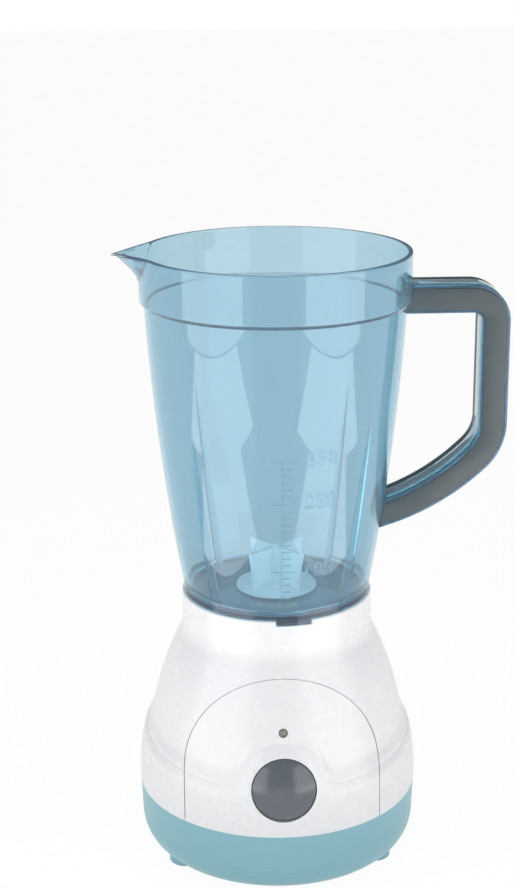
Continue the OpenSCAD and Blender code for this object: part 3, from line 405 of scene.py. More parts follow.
def combine(bm, *steps):
    """Cuts, joins or intersects bm with other meshes in turn. steps are (operation, bmesh) pairs."""
    base = temporary(bm)
    others = []
    for operation, other in steps:
        cutter = temporary(other)
        others.append(cutter)
        change = base.modifiers.new(operation, "BOOLEAN")
        change.operation = operation
        change.object = cutter
        change.solver = "EXACT"
    result = evaluated(base, 2 * MICRON)
    for obj in [base, *others]:
        bpy.data.objects.remove(obj)
    return result


def around(steps):
    """Even angles round a whole turn."""
    return [TAU * i / steps for i in range(steps)]


def ring_solid(angles, profile_at, closed=True):
    """A skin of one closed profile of (radius, height) points at each angle round the axis. With
    closed False it ends in two flat faces. Angle 0 is the front and angles grow towards +X."""
    bm = bmesh.new()
    rings = []
    for a in angles:
        side = Vector((math.sin(a), -math.cos(a), 0))
        rings.append([bm.verts.new(side * r + Vector((0, 0, z))) for r, z in profile_at(a)])
    count = len(rings[0])
    pairs = list(zip(rings, rings[1:]))
    if closed:
        pairs.append((rings[-1], rings[0]))
    for near, far in pairs:
        for i in range(count):
            j = (i + 1) % count
            bm.faces.new((near[i], near[j], far[j], far[i]))
    if not closed:
        bm.faces.new(rings[0])
        bm.faces.new(rings[-1][::-1])
    return bm


def arc(cx, cy, rx, ry, start, end, steps):
    """Points of an arc, with its angles in degrees."""
    turns = [math.radians(start + (end - start) * i / steps) for i in range(steps + 1)]
    return [(cx + rx * math.cos(a), cy + ry * math.sin(a)) for a in turns]


def prism(points, near, far, place):
    """A prism over an outline of (u, v) points, from near to far. place turns (u, v, depth) to a point."""
    bm = bmesh.new()
    low = [bm.verts.new(place(u, v, near)) for u, v in points]
    high = [bm.verts.new(place(u, v, far)) for u, v in points]
    bm.faces.new(low)
    bm.faces.new(high[::-1])
    for i in range(len(points)):
        j = (i + 1) % len(points)
        bm.faces.new((low[i], high[i], high[j], low[j]))
    return bm


def round_edges(bm, width, segments=3, keep=lambda edge: True):
    """Rounds the sharp edges of bm that keep agrees to."""
    face_outwards(bm)
    limit = math.radians(50)
    sharp = [e for e in bm.edges if len(e.link_faces) == 2 and e.calc_face_angle(0.0) > limit and keep(e)]
    look = {"profile": 0.5, "affect": "EDGES", "clamp_overlap": True}
    bmesh.ops.bevel(bm, geom=sharp, offset=width, segments=segments, **look)
    return bm


def frontal(u, v, depth):
    """A point at u to the right, v up and depth to the back."""
    return Vector((u, depth, v))


def fin_place(out, across):
    """Turns (u, v, depth) to a point u along out, v up and depth along across."""
    return lambda u, v, depth: out * u + across * depth + Vector((0, 0, v))


def levels(low, high, count):
    return [low + (high - low) * i / (count - 1) for i in range(count)]


def smooth_step(low, high, value):
    t = min(max((value - low) / (high - low), 0.0), 1.0)
    return t * t * (3 - 2 * t)


def soft_max(a, b, width):
    """The larger of a and b, with a fillet of about that width between them."""
    h = max(width - abs(a - b), 0.0) / width
    return max(a, b) + h * h * width / 4


# ---- Base ----


class BaseForm:
    """The base's outer surface, as a radius for each angle and height."""

    def __init__(self, sizes, button):
        self.s = sizes
        self.button_z = Z_JOINT + button.height
        self.bulb_z = Z_JOINT + 5.2 * MM
        self.belt_z = Z_JOINT + 4.4 * MM
        reach = sizes.bulb_arc + sizes.neck_fillet
        out = sizes.neck_radius + sizes.neck_fillet - sizes.bulb_radius + sizes.bulb_arc
        self.curve_z = self.bulb_z + math.sqrt(reach**2 - out**2)
        self.touch_z = self.bulb_z + (self.curve_z - self.bulb_z) * sizes.bulb_arc / reach

    def side(self, z):
        s = self.s
        if z < self.touch_z:
            return s.bulb_radius - s.bulb_arc + math.sqrt(s.bulb_arc**2 - (z - self.bulb_z) ** 2)
        if z < self.curve_z:
            return s.neck_radius + s.neck_fillet - math.sqrt(s.neck_fillet**2 - (self.curve_z - z) ** 2)
        return s.neck_radius

    def belt(self, z):
        drop = max(z - self.belt_z, 0.0)
        return self.s.belt_radius - self.s.belt_arc + math.sqrt(max(self.s.belt_arc**2 - drop**2, 0.0))

    def proud(self, angle, z):
        """How far inside the belt's upper edge a point lies: below a tilted plane, or on the pad."""
        s = self.s
        belt = self.belt(z)
        x = belt * math.sin(angle)
        y = -belt * math.cos(angle)
        drop = s.crease_drop * smooth_step(-8 * MM, 16 * MM, -y)
        below = Z_JOINT + s.crease_height + y * math.tan(s.crease_tilt) - drop - z
        on_pad = s.pad_radius - math.hypot(x, z - self.button_z) if y < 0 else -s.pad_radius
        return soft_max(below, on_pad, s.pad_blend)

    def level_of(self, angle, depth):
        """The height at which the belt's edge is passed by depth, found by halving."""
        low = Z_JOINT + 10 * MM
        high = self.button_z + self.s.pad_radius + 6 * MM
        for _ in range(26):
            middle = (low + high) / 2
            if self.proud(angle, middle) > depth:
                low = middle
            else:
                high = middle
        return low

    def outline(self, angle):
        """Points up the outside at that angle. The belt's upper edge is round above and meets the
        bulb in a crease."""
        s = self.s
        crease = self.level_of(angle, 0.0)
        shoulder = self.level_of(angle, s.crease_round)
        points = [(self.belt(z), z) for z in levels(Z_JOINT + 0.4 * MM, shoulder, 24)]
        start = max(self.belt(crease) - s.crease_step, self.side(crease))
        extra = start - self.side(crease)
        turns = 10
        for i in range(1, turns + 1):
            rise = math.sin(math.pi / 2 * i / turns)
            t = 0.55 * (1 - math.cos(math.pi / 2 * i / turns)) + 0.45 * smooth_step(0, 1, rise)
            z = shoulder + (crease - shoulder) * rise
            belt = self.belt(z)
            bulb = min(self.side(z) + extra, belt)
            points.append((belt + (bulb - belt) * t, z))
        for z in [crease + 0.5 * MM, *levels(crease + 1 * MM, self.touch_z, 26)]:
            faded = smooth_step(crease, crease + s.crease_fade, z)
            points.append((self.side(z) + extra * (1 - faded), z))
        points += [(self.side(z), z) for z in levels(self.touch_z + 1 * MM, self.curve_z, 8)]
        return points

    def arch(self, grow, near):
        """A prism over the front panel's outline, from the axis to past the front."""
        s = self.s
        half = s.panel_half + grow
        outline = arc(0, self.button_z, half, s.panel_rise + grow, 0, 180, 72)
        low = Z_JOINT - 5 * MM
        points = [(half, low), *outline, (-half, low)]
        return prism(points, -90 * MM, near, frontal)


def button_place(form, button):
    """The button's frame: origin on the pad, z out of the panel, y up along it."""
    y = -form.belt(form.button_z)
    turn = Matrix.Rotation(math.radians(90) - button.tilt, 4, "X")
    return Matrix.Translation((0, y, form.button_z)) @ turn


def turned(points, place, steps=96):
    """A turned piece about place's z axis, from (radius, height) points that start and end on it."""
    bm = bmesh.new()
    tip = [bm.verts.new(place @ Vector((0, 0, points[i][1]))) for i in (0, -1)]
    rings = []
    for r, z in points[1:-1]:
        ring = [Vector((r * math.cos(a), r * math.sin(a), z)) for a in around(steps)]
        rings.append([bm.verts.new(place @ point) for point in ring])
    for near, far in zip(rings, rings[1:]):
        for i in range(steps):
            j = (i + 1) % steps
            bm.faces.new((near[i], near[j], far[j], far[i]))
    for ring, end in ((rings[0], tip[0]), (rings[-1], tip[1])):
        for i in range(steps):
            bm.faces.new((end, ring[i], ring[(i + 1) % steps]))
    return bm


def inner_wall(form, top, count):
    """Points down the inside of the base's wall, from top to the joint."""
    s = form.s
    straight = s.belt_radius - s.wall - 0.3 * MM
    points = [(form.side(z) - s.wall, z) for z in levels(top, Z_JOINT + 22.4 * MM, count)]
    return points + [(straight, Z_JOINT + 10.4 * MM), (straight, Z_JOINT)]


def shell_profile(form, angle):
    s = form.s
    round_top = 0.8 * MM
    inner_neck = s.neck_radius - s.neck_wall
    room_top = Z_SEAT - MOTOR_ROOM
    outside = [(s.belt_radius - LIP, Z_JOINT), (s.belt_radius - 0.1 * MM, Z_JOINT + 0.1 * MM)]
    outside += form.outline(angle)
    outside += arc(s.neck_radius - round_top, Z_NECK - round_top, round_top, round_top, 0, 90, 5)
    inside = arc(inner_neck + round_top, Z_NECK - round_top, round_top, round_top, 100, 180, 4)
    inside += [(inner_neck, Z_SEAT), (BUSH_HOLE, Z_SEAT), (BUSH_HOLE, room_top)]
    return outside + inside + inner_wall(form, room_top, 10)


def panel_profile(form, angle):
    """A sector of the shell's wall; its top end is cut away by the arch."""
    outside = [(form.s.belt_radius - LIP, Z_JOINT), *form.outline(angle)]
    return outside + inner_wall(form, outside[-1][1], 14)


def cylinder(radius, low, high, place, steps=96):
    return turned([(0, low), (radius, low), (radius, high), (0, high)], place, steps)


def lug_notch(grow, low, high, inner, outer):
    """The sector of the jug's lug, or of its notch, at the front."""
    start = math.radians(-2.5) - grow
    end = math.radians(17.7) + grow
    section = [(inner, low), (outer, low), (outer, high), (inner, high)]
    return ring_solid(levels(start, end, 13), lambda a: section, closed=False)


class TOYBLENDER_OT_base_shell(bpy.types.Operator):
    """Builds the base's white shell and its arched front panel, with the soft edge of the belt"""

    bl_idname = "toyblender.base_shell"
    bl_label = "Base shell and front panel"

    def execute(self, context):
        scene = context.scene
        s = scene.toy_base
        button = scene.toy_button
        form = BaseForm(s, button)
        place = button_place(form, button)
        neck = s.neck_radius
        notch = lug_notch(0.012, Z_NECK - 2.1 * MM, Z_NECK + 2 * MM, neck - 4 * MM, neck + 2 * MM)
        shell = combine(
            ring_solid(around(288), lambda a: shell_profile(form, a)),
            ("DIFFERENCE", form.arch(0.0, 0.0)),
            ("DIFFERENCE", notch),
        )
        made = finish_mesh("base_shell_skin", shell, "base", "white_plastic", 32)
        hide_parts("base_shell")
        reach = math.radians(56)
        lamp = place @ Matrix.Translation((0, button.lamp_up, 0))
        hole = button.radius + button.gap
        panel = combine(
            ring_solid(levels(-reach, reach, 225), lambda a: panel_profile(form, a), closed=False),
            ("INTERSECT", form.arch(-s.panel_gap, -20 * MM)),
            ("UNION", cylinder(hole + 1.8 * MM, -7.2 * MM, -2.2 * MM, place)),
            ("DIFFERENCE", cylinder(hole, -12 * MM, 12 * MM, place)),
            ("DIFFERENCE", cylinder(button.lamp_radius + 0.1 * MM, -12 * MM, 8 * MM, lamp, 48)),
        )
        made = finish_mesh("front_panel_skin", panel, "base", "white_plastic", 32)
        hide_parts("front_panel")
        return {"FINISHED"}


class TOYBLENDER_OT_button(bpy.types.Operator):
    """Builds the button's domed cap and the small indicator lamp above it"""

    bl_idname = "toyblender.button"
    bl_label = "Button and indicator lamp"

    def execute(self, context):
        button = context.scene.toy_button
        form = BaseForm(context.scene.toy_base, button)
        place = button_place(form, button)
        r = button.radius
        dome_r = (r * r + button.dome**2) / (2 * button.dome)
        centre = button.edge + button.dome - dome_r
        edge_round = 0.6 * MM
        rim = math.degrees(math.acos((r - edge_round) / dome_r))
        top = [(0, centre + dome_r)] + arc(0, centre, dome_r, dome_r, 88.5, rim, 22)
        fall = [(r - 0.25 * MM, top[-1][1] - 0.2 * MM), (r, top[-1][1] - 0.65 * MM), (r, -7.5 * MM)]
        wall = 1.6 * MM
        under = [(r + wall, -7.5 * MM), (r + wall, -8.7 * MM), (r - wall, -8.7 * MM)]
        under += [(r - wall, button.edge - wall), (0, button.edge - wall)]
        cap = turned(top + fall + under, place)
        made = finish_mesh("button_cap", cap, "button", "button_plastic", 40)
        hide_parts("button")
        lamp = place @ Matrix.Translation((0, button.lamp_up, 0))
        r = button.lamp_radius
        face = button.lamp_face
        lens = [(0, face)] + arc(0, face - r, r * 0.97, r, 80, 30, 5)
        lens += [(r, face - 0.8 * MM), (r, face - 8.5 * MM), (0, face - 8.5 * MM)]
        lens = turned(lens, lamp, 48)
        made = finish_mesh("lamp_lens", lens, "base", "lamp_plastic", 50)
        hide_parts("indicator_lamp")
        return {"FINISHED"}


# ---- Jug ----


class JugForm:
    """The jug's surfaces. Heights are from the frame, radii from the sizes."""

    def __init__(self, sizes):
        self.s = sizes
        self.floor_z = Z_NECK + 0.3 * MM
        self.step_z = self.floor_z + sizes.height
        self.spout_z = Z_RIM - sizes.spout_height

    def wall(self, z):
        s = self.s
        t = (z - self.floor_z) / s.height
        return s.floor_radius + (s.top_radius - s.floor_radius) * t + 4 * s.bulge * t * (1 - t)

    def spout(self, angle, z, base_radius, inset):
        """Radius of the spout's outline at that height: two straight sides that meet at the tip."""
        s = self.s
        t = (z - self.spout_z - inset) / (s.spout_height - inset)
        if t <= 0:
            return base_radius
        t = min(t, 1.0)
        off = abs(math.remainder(angle + math.pi / 2, TAU))
        half = (s.spout_half_angle - inset / s.collar_radius) * t**0.75
        if off >= half:
            return base_radius
        tip = base_radius + (s.spout_reach - s.collar_radius - inset * 1.2) * t**1.5
        side_y = base_radius * math.sin(half)
        side_x = base_radius * math.cos(half)
        blunt = 0.012
        rise = math.sqrt(math.sin(off) ** 2 + blunt**2) - blunt
        return max(tip * side_y / (side_y * math.cos(off) + (tip - side_x) * rise), base_radius)

    def profile(self, angle):
        s = self.s
        skirt = 38.2 * MM
        skirt_low = Z_SEAT + 0.2 * MM
        boss = 5.6 * MM
        boss_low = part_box("impeller_bush")[0].z
        seal_hole = 4.85 * MM
        under = self.floor_z - s.floor
        bead = s.floor_radius + 0.6 * MM
        points = [(BUSH_HOLE, boss_low), (boss, boss_low), (boss, under)]
        points += [(skirt - s.wall, under), (skirt - s.wall, skirt_low)]
        points += [(skirt, skirt_low), (skirt, self.floor_z), (bead - 0.3 * MM, self.floor_z)]
        points += [(bead, self.floor_z + 0.3 * MM), (bead, self.floor_z + 0.9 * MM)]
        points += [(self.wall(z), z) for z in levels(self.floor_z + 1.6 * MM, self.step_z, 34)]
        edge = s.collar_edge
        drop = 0.25 * MM
        ledge_out = s.top_radius + s.collar_step
        points += [(ledge_out - drop, self.step_z + 0.05 * MM), (ledge_out, self.step_z + drop)]
        points += arc(s.collar_radius - edge, self.step_z + edge + 0.2 * MM, edge, edge, -42, 0, 8)
        collar = levels(self.spout_z - 1 * MM, Z_RIM - 0.8 * MM, 22)
        points += [(self.spout(angle, z, s.collar_radius, 0.0), z) for z in collar]
        outer = self.spout(angle, Z_RIM, s.collar_radius, 0.0)
        inner_base = s.collar_radius - s.wall
        inner = self.spout(angle, Z_RIM, inner_base, s.wall)
        sink = 1 * MM * (outer - s.collar_radius) / (s.spout_reach - s.collar_radius)
        soft = 0.75 * MM
        points += arc(outer - soft, Z_RIM - soft - sink, soft, soft, 20, 90, 4)
        less = soft * 0.6
        points += arc(inner + less, Z_RIM - less - sink, less, less, 90, 160, 3)
        channel = levels(Z_RIM - 1 * MM, self.spout_z - 1 * MM, 22)
        points += [(self.spout(angle, z, inner_base, s.wall), z) for z in channel]
        ledge = self.step_z + 0.4 * MM
        points += [(inner_base, ledge + 1.2 * MM), (s.top_radius - s.wall, ledge)]
        points += [(self.wall(z) - s.wall, z) for z in levels(self.step_z, self.floor_z + 3.2 * MM, 34)]
        corner = 3 * MM
        low = self.wall(self.floor_z) - s.wall - corner
        points += arc(low, self.floor_z + corner, corner, corner, -8, -90, 7)
        ring_low = self.floor_z - 1.2 * MM
        points += [(seal_hole, self.floor_z), (seal_hole, ring_low), (BUSH_HOLE, ring_low)]
        return points

    def angles(self):
        """Even steps, and finer ones over the spout."""
        fine = 0.5
        degrees = [i * 1.875 for i in range(192) if not 243 < i * 1.875 < 297]
        degrees += [243 + fine * i for i in range(int((297 - 243) / fine) + 1)]
        return [math.radians(d) for d in sorted(degrees)]

    def inside(self, gap, top):
        """A solid that fills the jug up to top, with gap inside its outer wall. Negative gap is outside."""
        low = self.floor_z - 0.5 * MM
        heights = levels(self.floor_z, self.step_z, 34)
        collar = self.s.collar_radius - gap

        def outline(angle):
            points = [(5 * MM, low), (self.wall(self.floor_z) - gap, low)]
            points += [(self.wall(z) - gap, z) for z in heights]
            points += [(collar, self.step_z + 2.5 * MM), (collar, top), (5 * MM, top)]
            return points

        return ring_solid(around(192), outline)

    def rib(self, angle):
        """A fin on the inside of the wall, tapering to nothing at its upper end."""
        s = self.s
        out = Vector((math.sin(angle), -math.cos(angle), 0))
        across = Vector((math.cos(angle), math.sin(angle), 0))
        heights = levels(self.floor_z - 0.6 * MM, self.floor_z + s.rib_height, 9)
        buried = [(self.wall(z) - s.wall / 2, z) for z in heights]
        end = (self.wall(heights[-1]) - s.wall - 0.05 * MM, heights[-1])
        foot = (self.wall(heights[0]) - s.wall - s.rib_reach, heights[0])
        points = [foot, *buried, end]
        half = s.rib_thickness / 2
        return prism(points, -half, half, fin_place(out, across))


class HandleForm:
    """The handle's outline, seen from the front."""

    def __init__(self, sizes):
        self.s = sizes
        half = sizes.width / 2
        end = sizes.end_width / 2
        self.top_z = Z_RIM - sizes.top_drop
        corner = (sizes.grip_x - sizes.upper_bend, self.top_z - sizes.upper_bend)
        elbow = (sizes.grip_x - sizes.lower_bend, corner[1] - sizes.grip_height)
        turn = math.radians(-45)
        shift = sizes.lower_bend - sizes.sweep_bend
        sweep = (elbow[0] + shift * math.cos(turn), elbow[1] + shift * math.sin(turn))
        self.line = [(40 * MM, self.top_z, 90.0, half), (50 * MM, self.top_z, 90.0, half)]
        self.line += self.bend(corner, sizes.upper_bend, 90, 0, 16, half, half)
        self.line += self.bend(elbow, sizes.lower_bend, 0, -45, 12, half, half)
        self.line += self.bend(sweep, sizes.sweep_bend, -45, -71.5, 14, half, end)[1:]
        self.line += self.bend(sweep, sizes.sweep_bend, -71.5, -75.5, 2, end, end)[1:]
        self.front = -(sizes.core_depth + sizes.cover_depth) / 2
        self.back = self.front + sizes.core_depth

    def bend(self, centre, radius, start, end, steps, near, far):
        made = []
        for i in range(steps + 1):
            t = i / steps
            a = start + (end - start) * t
            x = centre[0] + radius * math.cos(math.radians(a))
            z = centre[1] + radius * math.sin(math.radians(a))
            made.append((x, z, a, near + (far - near) * t))
        return made

    def side(self, sign, border):
        made = []
        for x, z, a, half in self.line:
            turn = math.radians(a)
            off = sign * (half - border)
            made.append((x + off * math.cos(turn), z + off * math.sin(turn)))
        return made

    def outline(self, border=0.0):
        return self.side(1, border) + self.side(-1, border)[::-1]

    def slab(self, near, far, border=0.0):
        return prism(self.outline(border), near, far, frontal)


def along_y(edge):
    """Whether an edge lies flat across the handle's depth, as those round its front and back do."""
    return abs(edge.verts[0].co.y - edge.verts[1].co.y) < 1e-6


class TOYBLENDER_OT_jug(bpy.types.Operator):
    """Builds the clear jug in one piece: wall, collar, spout, ribs, lug and the handle's core"""

    bl_idname = "toyblender.jug"
    bl_label = "Jug"

    def execute(self, context):
        form = JugForm(context.scene.toy_jug)
        handle = HandleForm(context.scene.toy_handle)
        h = handle.s
        s = form.s
        wall = 1.8 * MM
        plate = 1.2 * MM
        top = Z_RIM + 5 * MM
        recess = handle.slab(handle.front - 1 * MM, handle.front + plate, h.border)
        hollow = handle.slab(handle.front + plate + wall, handle.back + 1 * MM, wall)
        core = combine(
            round_edges(handle.slab(handle.front, handle.back), 0.5 * MM, 2, along_y),
            ("DIFFERENCE", combine(recess, ("DIFFERENCE", form.inside(-0.2 * MM, top)))),
            ("DIFFERENCE", combine(hollow, ("DIFFERENCE", form.inside(-0.5 * MM, top)))),
            ("DIFFERENCE", form.inside(s.wall / 2, top)),
        )
        lug = lug_notch(0.0, Z_NECK - 1.8 * MM, form.floor_z + 0.5 * MM, 37.7 * MM, 40.2 * MM)
        turns = (s.rib_front, -s.rib_front, s.rib_rear, -s.rib_rear)
        ribs = [("UNION", form.rib(a)) for a in turns]
        body = ring_solid(form.angles(), form.profile)
        jug = combine(body, ("UNION", core), ("UNION", lug), *ribs)
        made = finish_mesh("clear_jug", jug, "jug", "clear_blue_plastic", 35)
        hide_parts("jug")
        return {"FINISHED"}


class TOYBLENDER_OT_scale(bpy.types.Operator):
    """Builds the raised scale on the front of the jug: a line with ticks and three plain numbers"""

    bl_idname = "toyblender.scale"
    bl_label = "Scale"

    lift = 0.02 * MM
    line_angle = -0.4
    tick_gap = 3.03 * MM
    first_tick = 128.6 * MM
    ticks = 21
    majors = ((4, "100"), (14, "250"), (20, "350"))

    def bar(self, form, start, end, low, high):
        """A raised strip between two angles, in degrees from the front, and two heights."""
        top = form.s.mark_height
        steps = max(1, int((end - start) / 2))
        angles = [math.radians(a) for a in levels(start, end, steps + 1)]
        heights = levels(low, high, max(2, int((high - low) / (4 * MM)) + 1))

        def outline(angle):
            out = [(form.wall(z) + top, z) for z in heights]
            return [(form.wall(z) + self.lift, z) for z in heights[::-1]] + out

        return ring_solid(angles, outline, closed=False)

    def number(self, form, words, z, start):
        """Plain digits, laid round the wall to the right of start degrees."""
        curve = bpy.data.curves.new("digits", "FONT")
        curve.body = words
        curve.size = 8.8 * MM
        curve.space_character = 1.08
        curve.extrude = 0.5
        obj = bpy.data.objects.new("digits", curve)
        bpy.context.scene.collection.objects.link(obj)
        bm = evaluated(obj, 1e-6)
        bpy.data.objects.remove(obj)
        half = (max(v.co.y for v in bm.verts) - min(v.co.y for v in bm.verts)) / 2
        for v in bm.verts:
            up = z + v.co.y - half
            r = form.wall(up) + (self.lift if v.co.z < 0 else form.s.mark_height)
            a = math.radians(start) + v.co.x / r
            v.co = Vector((r * math.sin(a), -r * math.cos(a), up))
        return bm

    def execute(self, context):
        form = JugForm(context.scene.toy_jug)
        degree = math.radians(1) * 48 * MM
        thin = 0.45 * MM
        start = self.line_angle
        heights = [self.first_tick + i * self.tick_gap for i in range(self.ticks)]
        marks = [self.bar(form, start, start + thin / degree, heights[0] - 5 * MM, heights[-1])]
        majors = dict(self.majors)
        for i, z in enumerate(heights):
            words = majors.get(i)
            marks.append(self.bar(form, start + 0.6, start + (6.8 if words else 5.4), z, z + thin))
            if words:
                marks.append(self.bar(form, start - 5.4, start - 0.1, z, z + thin))
                marks.append(self.number(form, words, z + 0.8 * MM, 10.6))
        joined = bmesh.new()
        for bm in marks:
            mesh = bpy.data.meshes.new("mark")
            bm.to_mesh(mesh)
            bm.free()
            joined.from_mesh(mesh)
            bpy.data.meshes.remove(mesh)
        etched = etched_polystyrene(context.scene.toy_finishes)
        finish_mesh("scale_marks", joined, "jug", "clear_blue_plastic", 30, etched)
        return {"FINISHED"}


class TOYBLENDER_OT_handle(bpy.types.Operator):
    """Builds the handle's grey front plate and back cover"""

    bl_idname = "toyblender.handle"
    bl_label = "Handle plates"

    def execute(self, context):
        jug = JugForm(context.scene.toy_jug)
        form = HandleForm(context.scene.toy_handle)
        s = form.s
        top = Z_RIM + 5 * MM
        seat = 0.05 * MM
        plate = form.slab(form.front - 0.3 * MM, form.front + 1.15 * MM, s.border + seat)
        plate = round_edges(plate, 0.35 * MM, 3, along_y)
        plate = combine(plate, ("DIFFERENCE", jug.inside(-0.3 * MM, top)))
        made = finish_mesh("handle_front_plate", plate, "jug", "grey_plastic", 40)
        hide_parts("handle_plate")
        cover = form.slab(form.back + seat, form.back + s.cover_depth)
        cover = round_edges(cover, 0.9 * MM, 4, along_y)
        cover = combine(cover, ("DIFFERENCE", jug.inside(-0.1 * MM, top)))
        made = finish_mesh("handle_back_cover", cover, "jug", "grey_plastic", 40)
        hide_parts("handle_cover")
        return {"FINISHED"}


class TOYBLENDER_OT_impeller(bpy.types.Operator):
    """Builds the white impeller: a thin disc with four upright blades and a round knob"""

    bl_idname = "toyblender.impeller"
    bl_label = "Impeller"

    def execute(self, context):
        s = context.scene.toy_impeller
        floor = Z_NECK + 0.3 * MM
        low = floor + 0.6 * MM
        top = floor + s.blade_height
        upright = Matrix.Identity(4)
        r = s.disc_radius
        disc = [(0, low), (r - 0.4 * MM, low), (r, low + 0.3 * MM)]
        disc += [(r - 0.1 * MM, low + 0.75 * MM), (r - 0.5 * MM, low + 0.95 * MM)]
        disc += [(s.blade_foot, low + 1.8 * MM), (4 * MM, low + 2.3 * MM), (0, low + 2.3 * MM)]
        body = turned(disc, upright)
        hub = [(0, low + 1 * MM), (3.4 * MM, low + 1 * MM), (3 * MM, low + 4 * MM)]
        hub += [(2.6 * MM, top - 2.2 * MM), (2.4 * MM, top - 1.9 * MM), (0, top - 1.9 * MM)]
        knob_r = 2.4 * MM
        knob = [(0, top - knob_r * 1.4)] + arc(0, top + 0.9 * MM - knob_r, knob_r, knob_r, -60, 86, 14)
        knob += [(0, top + 0.9 * MM)]
        foot = low + 1.2 * MM
        spread = s.blade_reach - s.blade_foot
        rise = top - 1.2 * MM - foot
        side = [(s.blade_foot + spread * t * t, foot + rise * t) for t in levels(0.0, 1.0, 7)]
        outline = [(1 * MM, foot), *side, (s.blade_reach - 0.5 * MM, top), (1 * MM, top)]
        steps = [("UNION", turned(hub, upright, 48)), ("UNION", turned(knob, upright, 48))]
        for turn in range(4):
            a = s.blade_angle + turn * math.pi / 2
            out = Vector((math.cos(a), math.sin(a), 0))
            across = Vector((-math.sin(a), math.cos(a), 0))
            half = s.blade_thickness / 2
            blade = prism(outline, -half, half, fin_place(out, across))
            steps.append(("UNION", round_edges(blade, 0.4 * MM)))
        impeller = combine(body, *steps)
        made = finish_mesh("impeller_white", impeller, "impeller", "white_plastic", 35)
        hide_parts("impeller")
        return {"FINISHED"}


# ---- Frame finishes and studio ----


# Name, colour, roughness, grain size and grain depth, and the refraction where it isn't ABS's
PLASTICS = {
    "inner_plastic": ("Natural ABS, matt", "#dedcd4", 0.45, 0.6 * MM, 12 * MICRON),
    "gear_plastic": ("Acetal, waxy", "#ece6d2", 0.4, 0.8 * MM, 6 * MICRON, 1.48),
    "black_plastic": ("Black phenolic, matt", "#1c1c1e", 0.5, 0.5 * MM, 12 * MICRON),
    "lamp_plastic": ("Epoxy lens, diffused", "#8b8d86", 0.12, 1.5 * MM, 3 * MICRON, 1.53),
    "board_laminate": ("Glass epoxy laminate, solder mask", "#2c6a3f", 0.3, 0.35 * MM, 14 * MICRON),
    "resistor_coating": ("Lacquered ceramic", "#c8ab77", 0.3, 0.5 * MM, 10 * MICRON),
    "cell_jacket": ("Shrink film over steel", "#41454a", 0.25, 1.2 * MM, 8 * MICRON),
    "seal_rubber": ("Nitrile rubber, matt", "#202122", 0.6, 0.4 * MM, 14 * MICRON, 1.52),
    "lead_red": ("Red PVC insulation", "#b3201c", 0.35, 0.9 * MM, 6 * MICRON),
    "lead_black": ("Black PVC insulation", "#1b1b1d", 0.35, 0.9 * MM, 6 * MICRON),
}
# Name, colour, roughness and line width, and how far the lines are stretched where it isn't 6
METALS = {
    "motor_can": ("Zinc-plated steel can", "#b9bcbf", 0.32, 0.8 * MM),
    "nickel_steel": ("Nickel-plated steel", "#c9c4ba", 0.2, 0.5 * MM),
    "zinc_steel": ("Zinc-plated steel", "#b4b8bd", 0.36, 0.6 * MM),
    "bush_brass": ("Sintered bronze", "#b98e55", 0.42, 0.5 * MM, 1.0),
}
VISIBLE = {
    "white_plastic": white_abs,
    "teal_plastic": teal_abs,
    "button_plastic": button_abs,
    "grey_plastic": slate_abs,
    "clear_blue_plastic": clear_polystyrene,
}
made_finishes = {}


def finish(slot):
    """The material for one of the record's slots, made once."""
    if slot not in made_finishes:
        if slot in VISIBLE:
            made = VISIBLE[slot](bpy.context.scene.toy_finishes)
        else:
            maker, table = (metal, METALS) if slot in METALS else (moulded_plastic, PLASTICS)
            name, code, *look = table[slot]
            made = maker(name, linear(code), *look)
        made_finishes[slot] = made
    return made_finishes[slot]


def seen_by(tree, *kinds):
    """1 where the ray is of one of those kinds, else 0."""
    rays = add(tree, "LightPath")
    seen = rays.outputs[kinds[0]]
    for kind in kinds[1:]:
        either = {0: seen, 1: rays.outputs[kind]}
        seen = add(tree, "Math", either, operation="ADD", use_clamp=True).outputs[0]
    return seen


class TOYBLENDER_OT_frame_finishes(bpy.types.Operator):
    """Gives every piece of the frame that stays in view its own material"""

    bl_idname = "toyblender.frame_finishes"
    bl_label = "Frame finishes"

    def execute(self, context):
        slots = {p["node"]: p["material_slot"] for p in frame["record"]["subparts"]}
        for name, obj in frame["nodes"].items():
            obj.data.materials.clear()
            obj.data.materials.append(finish(slots[name]))
        return {"FINISHED"}


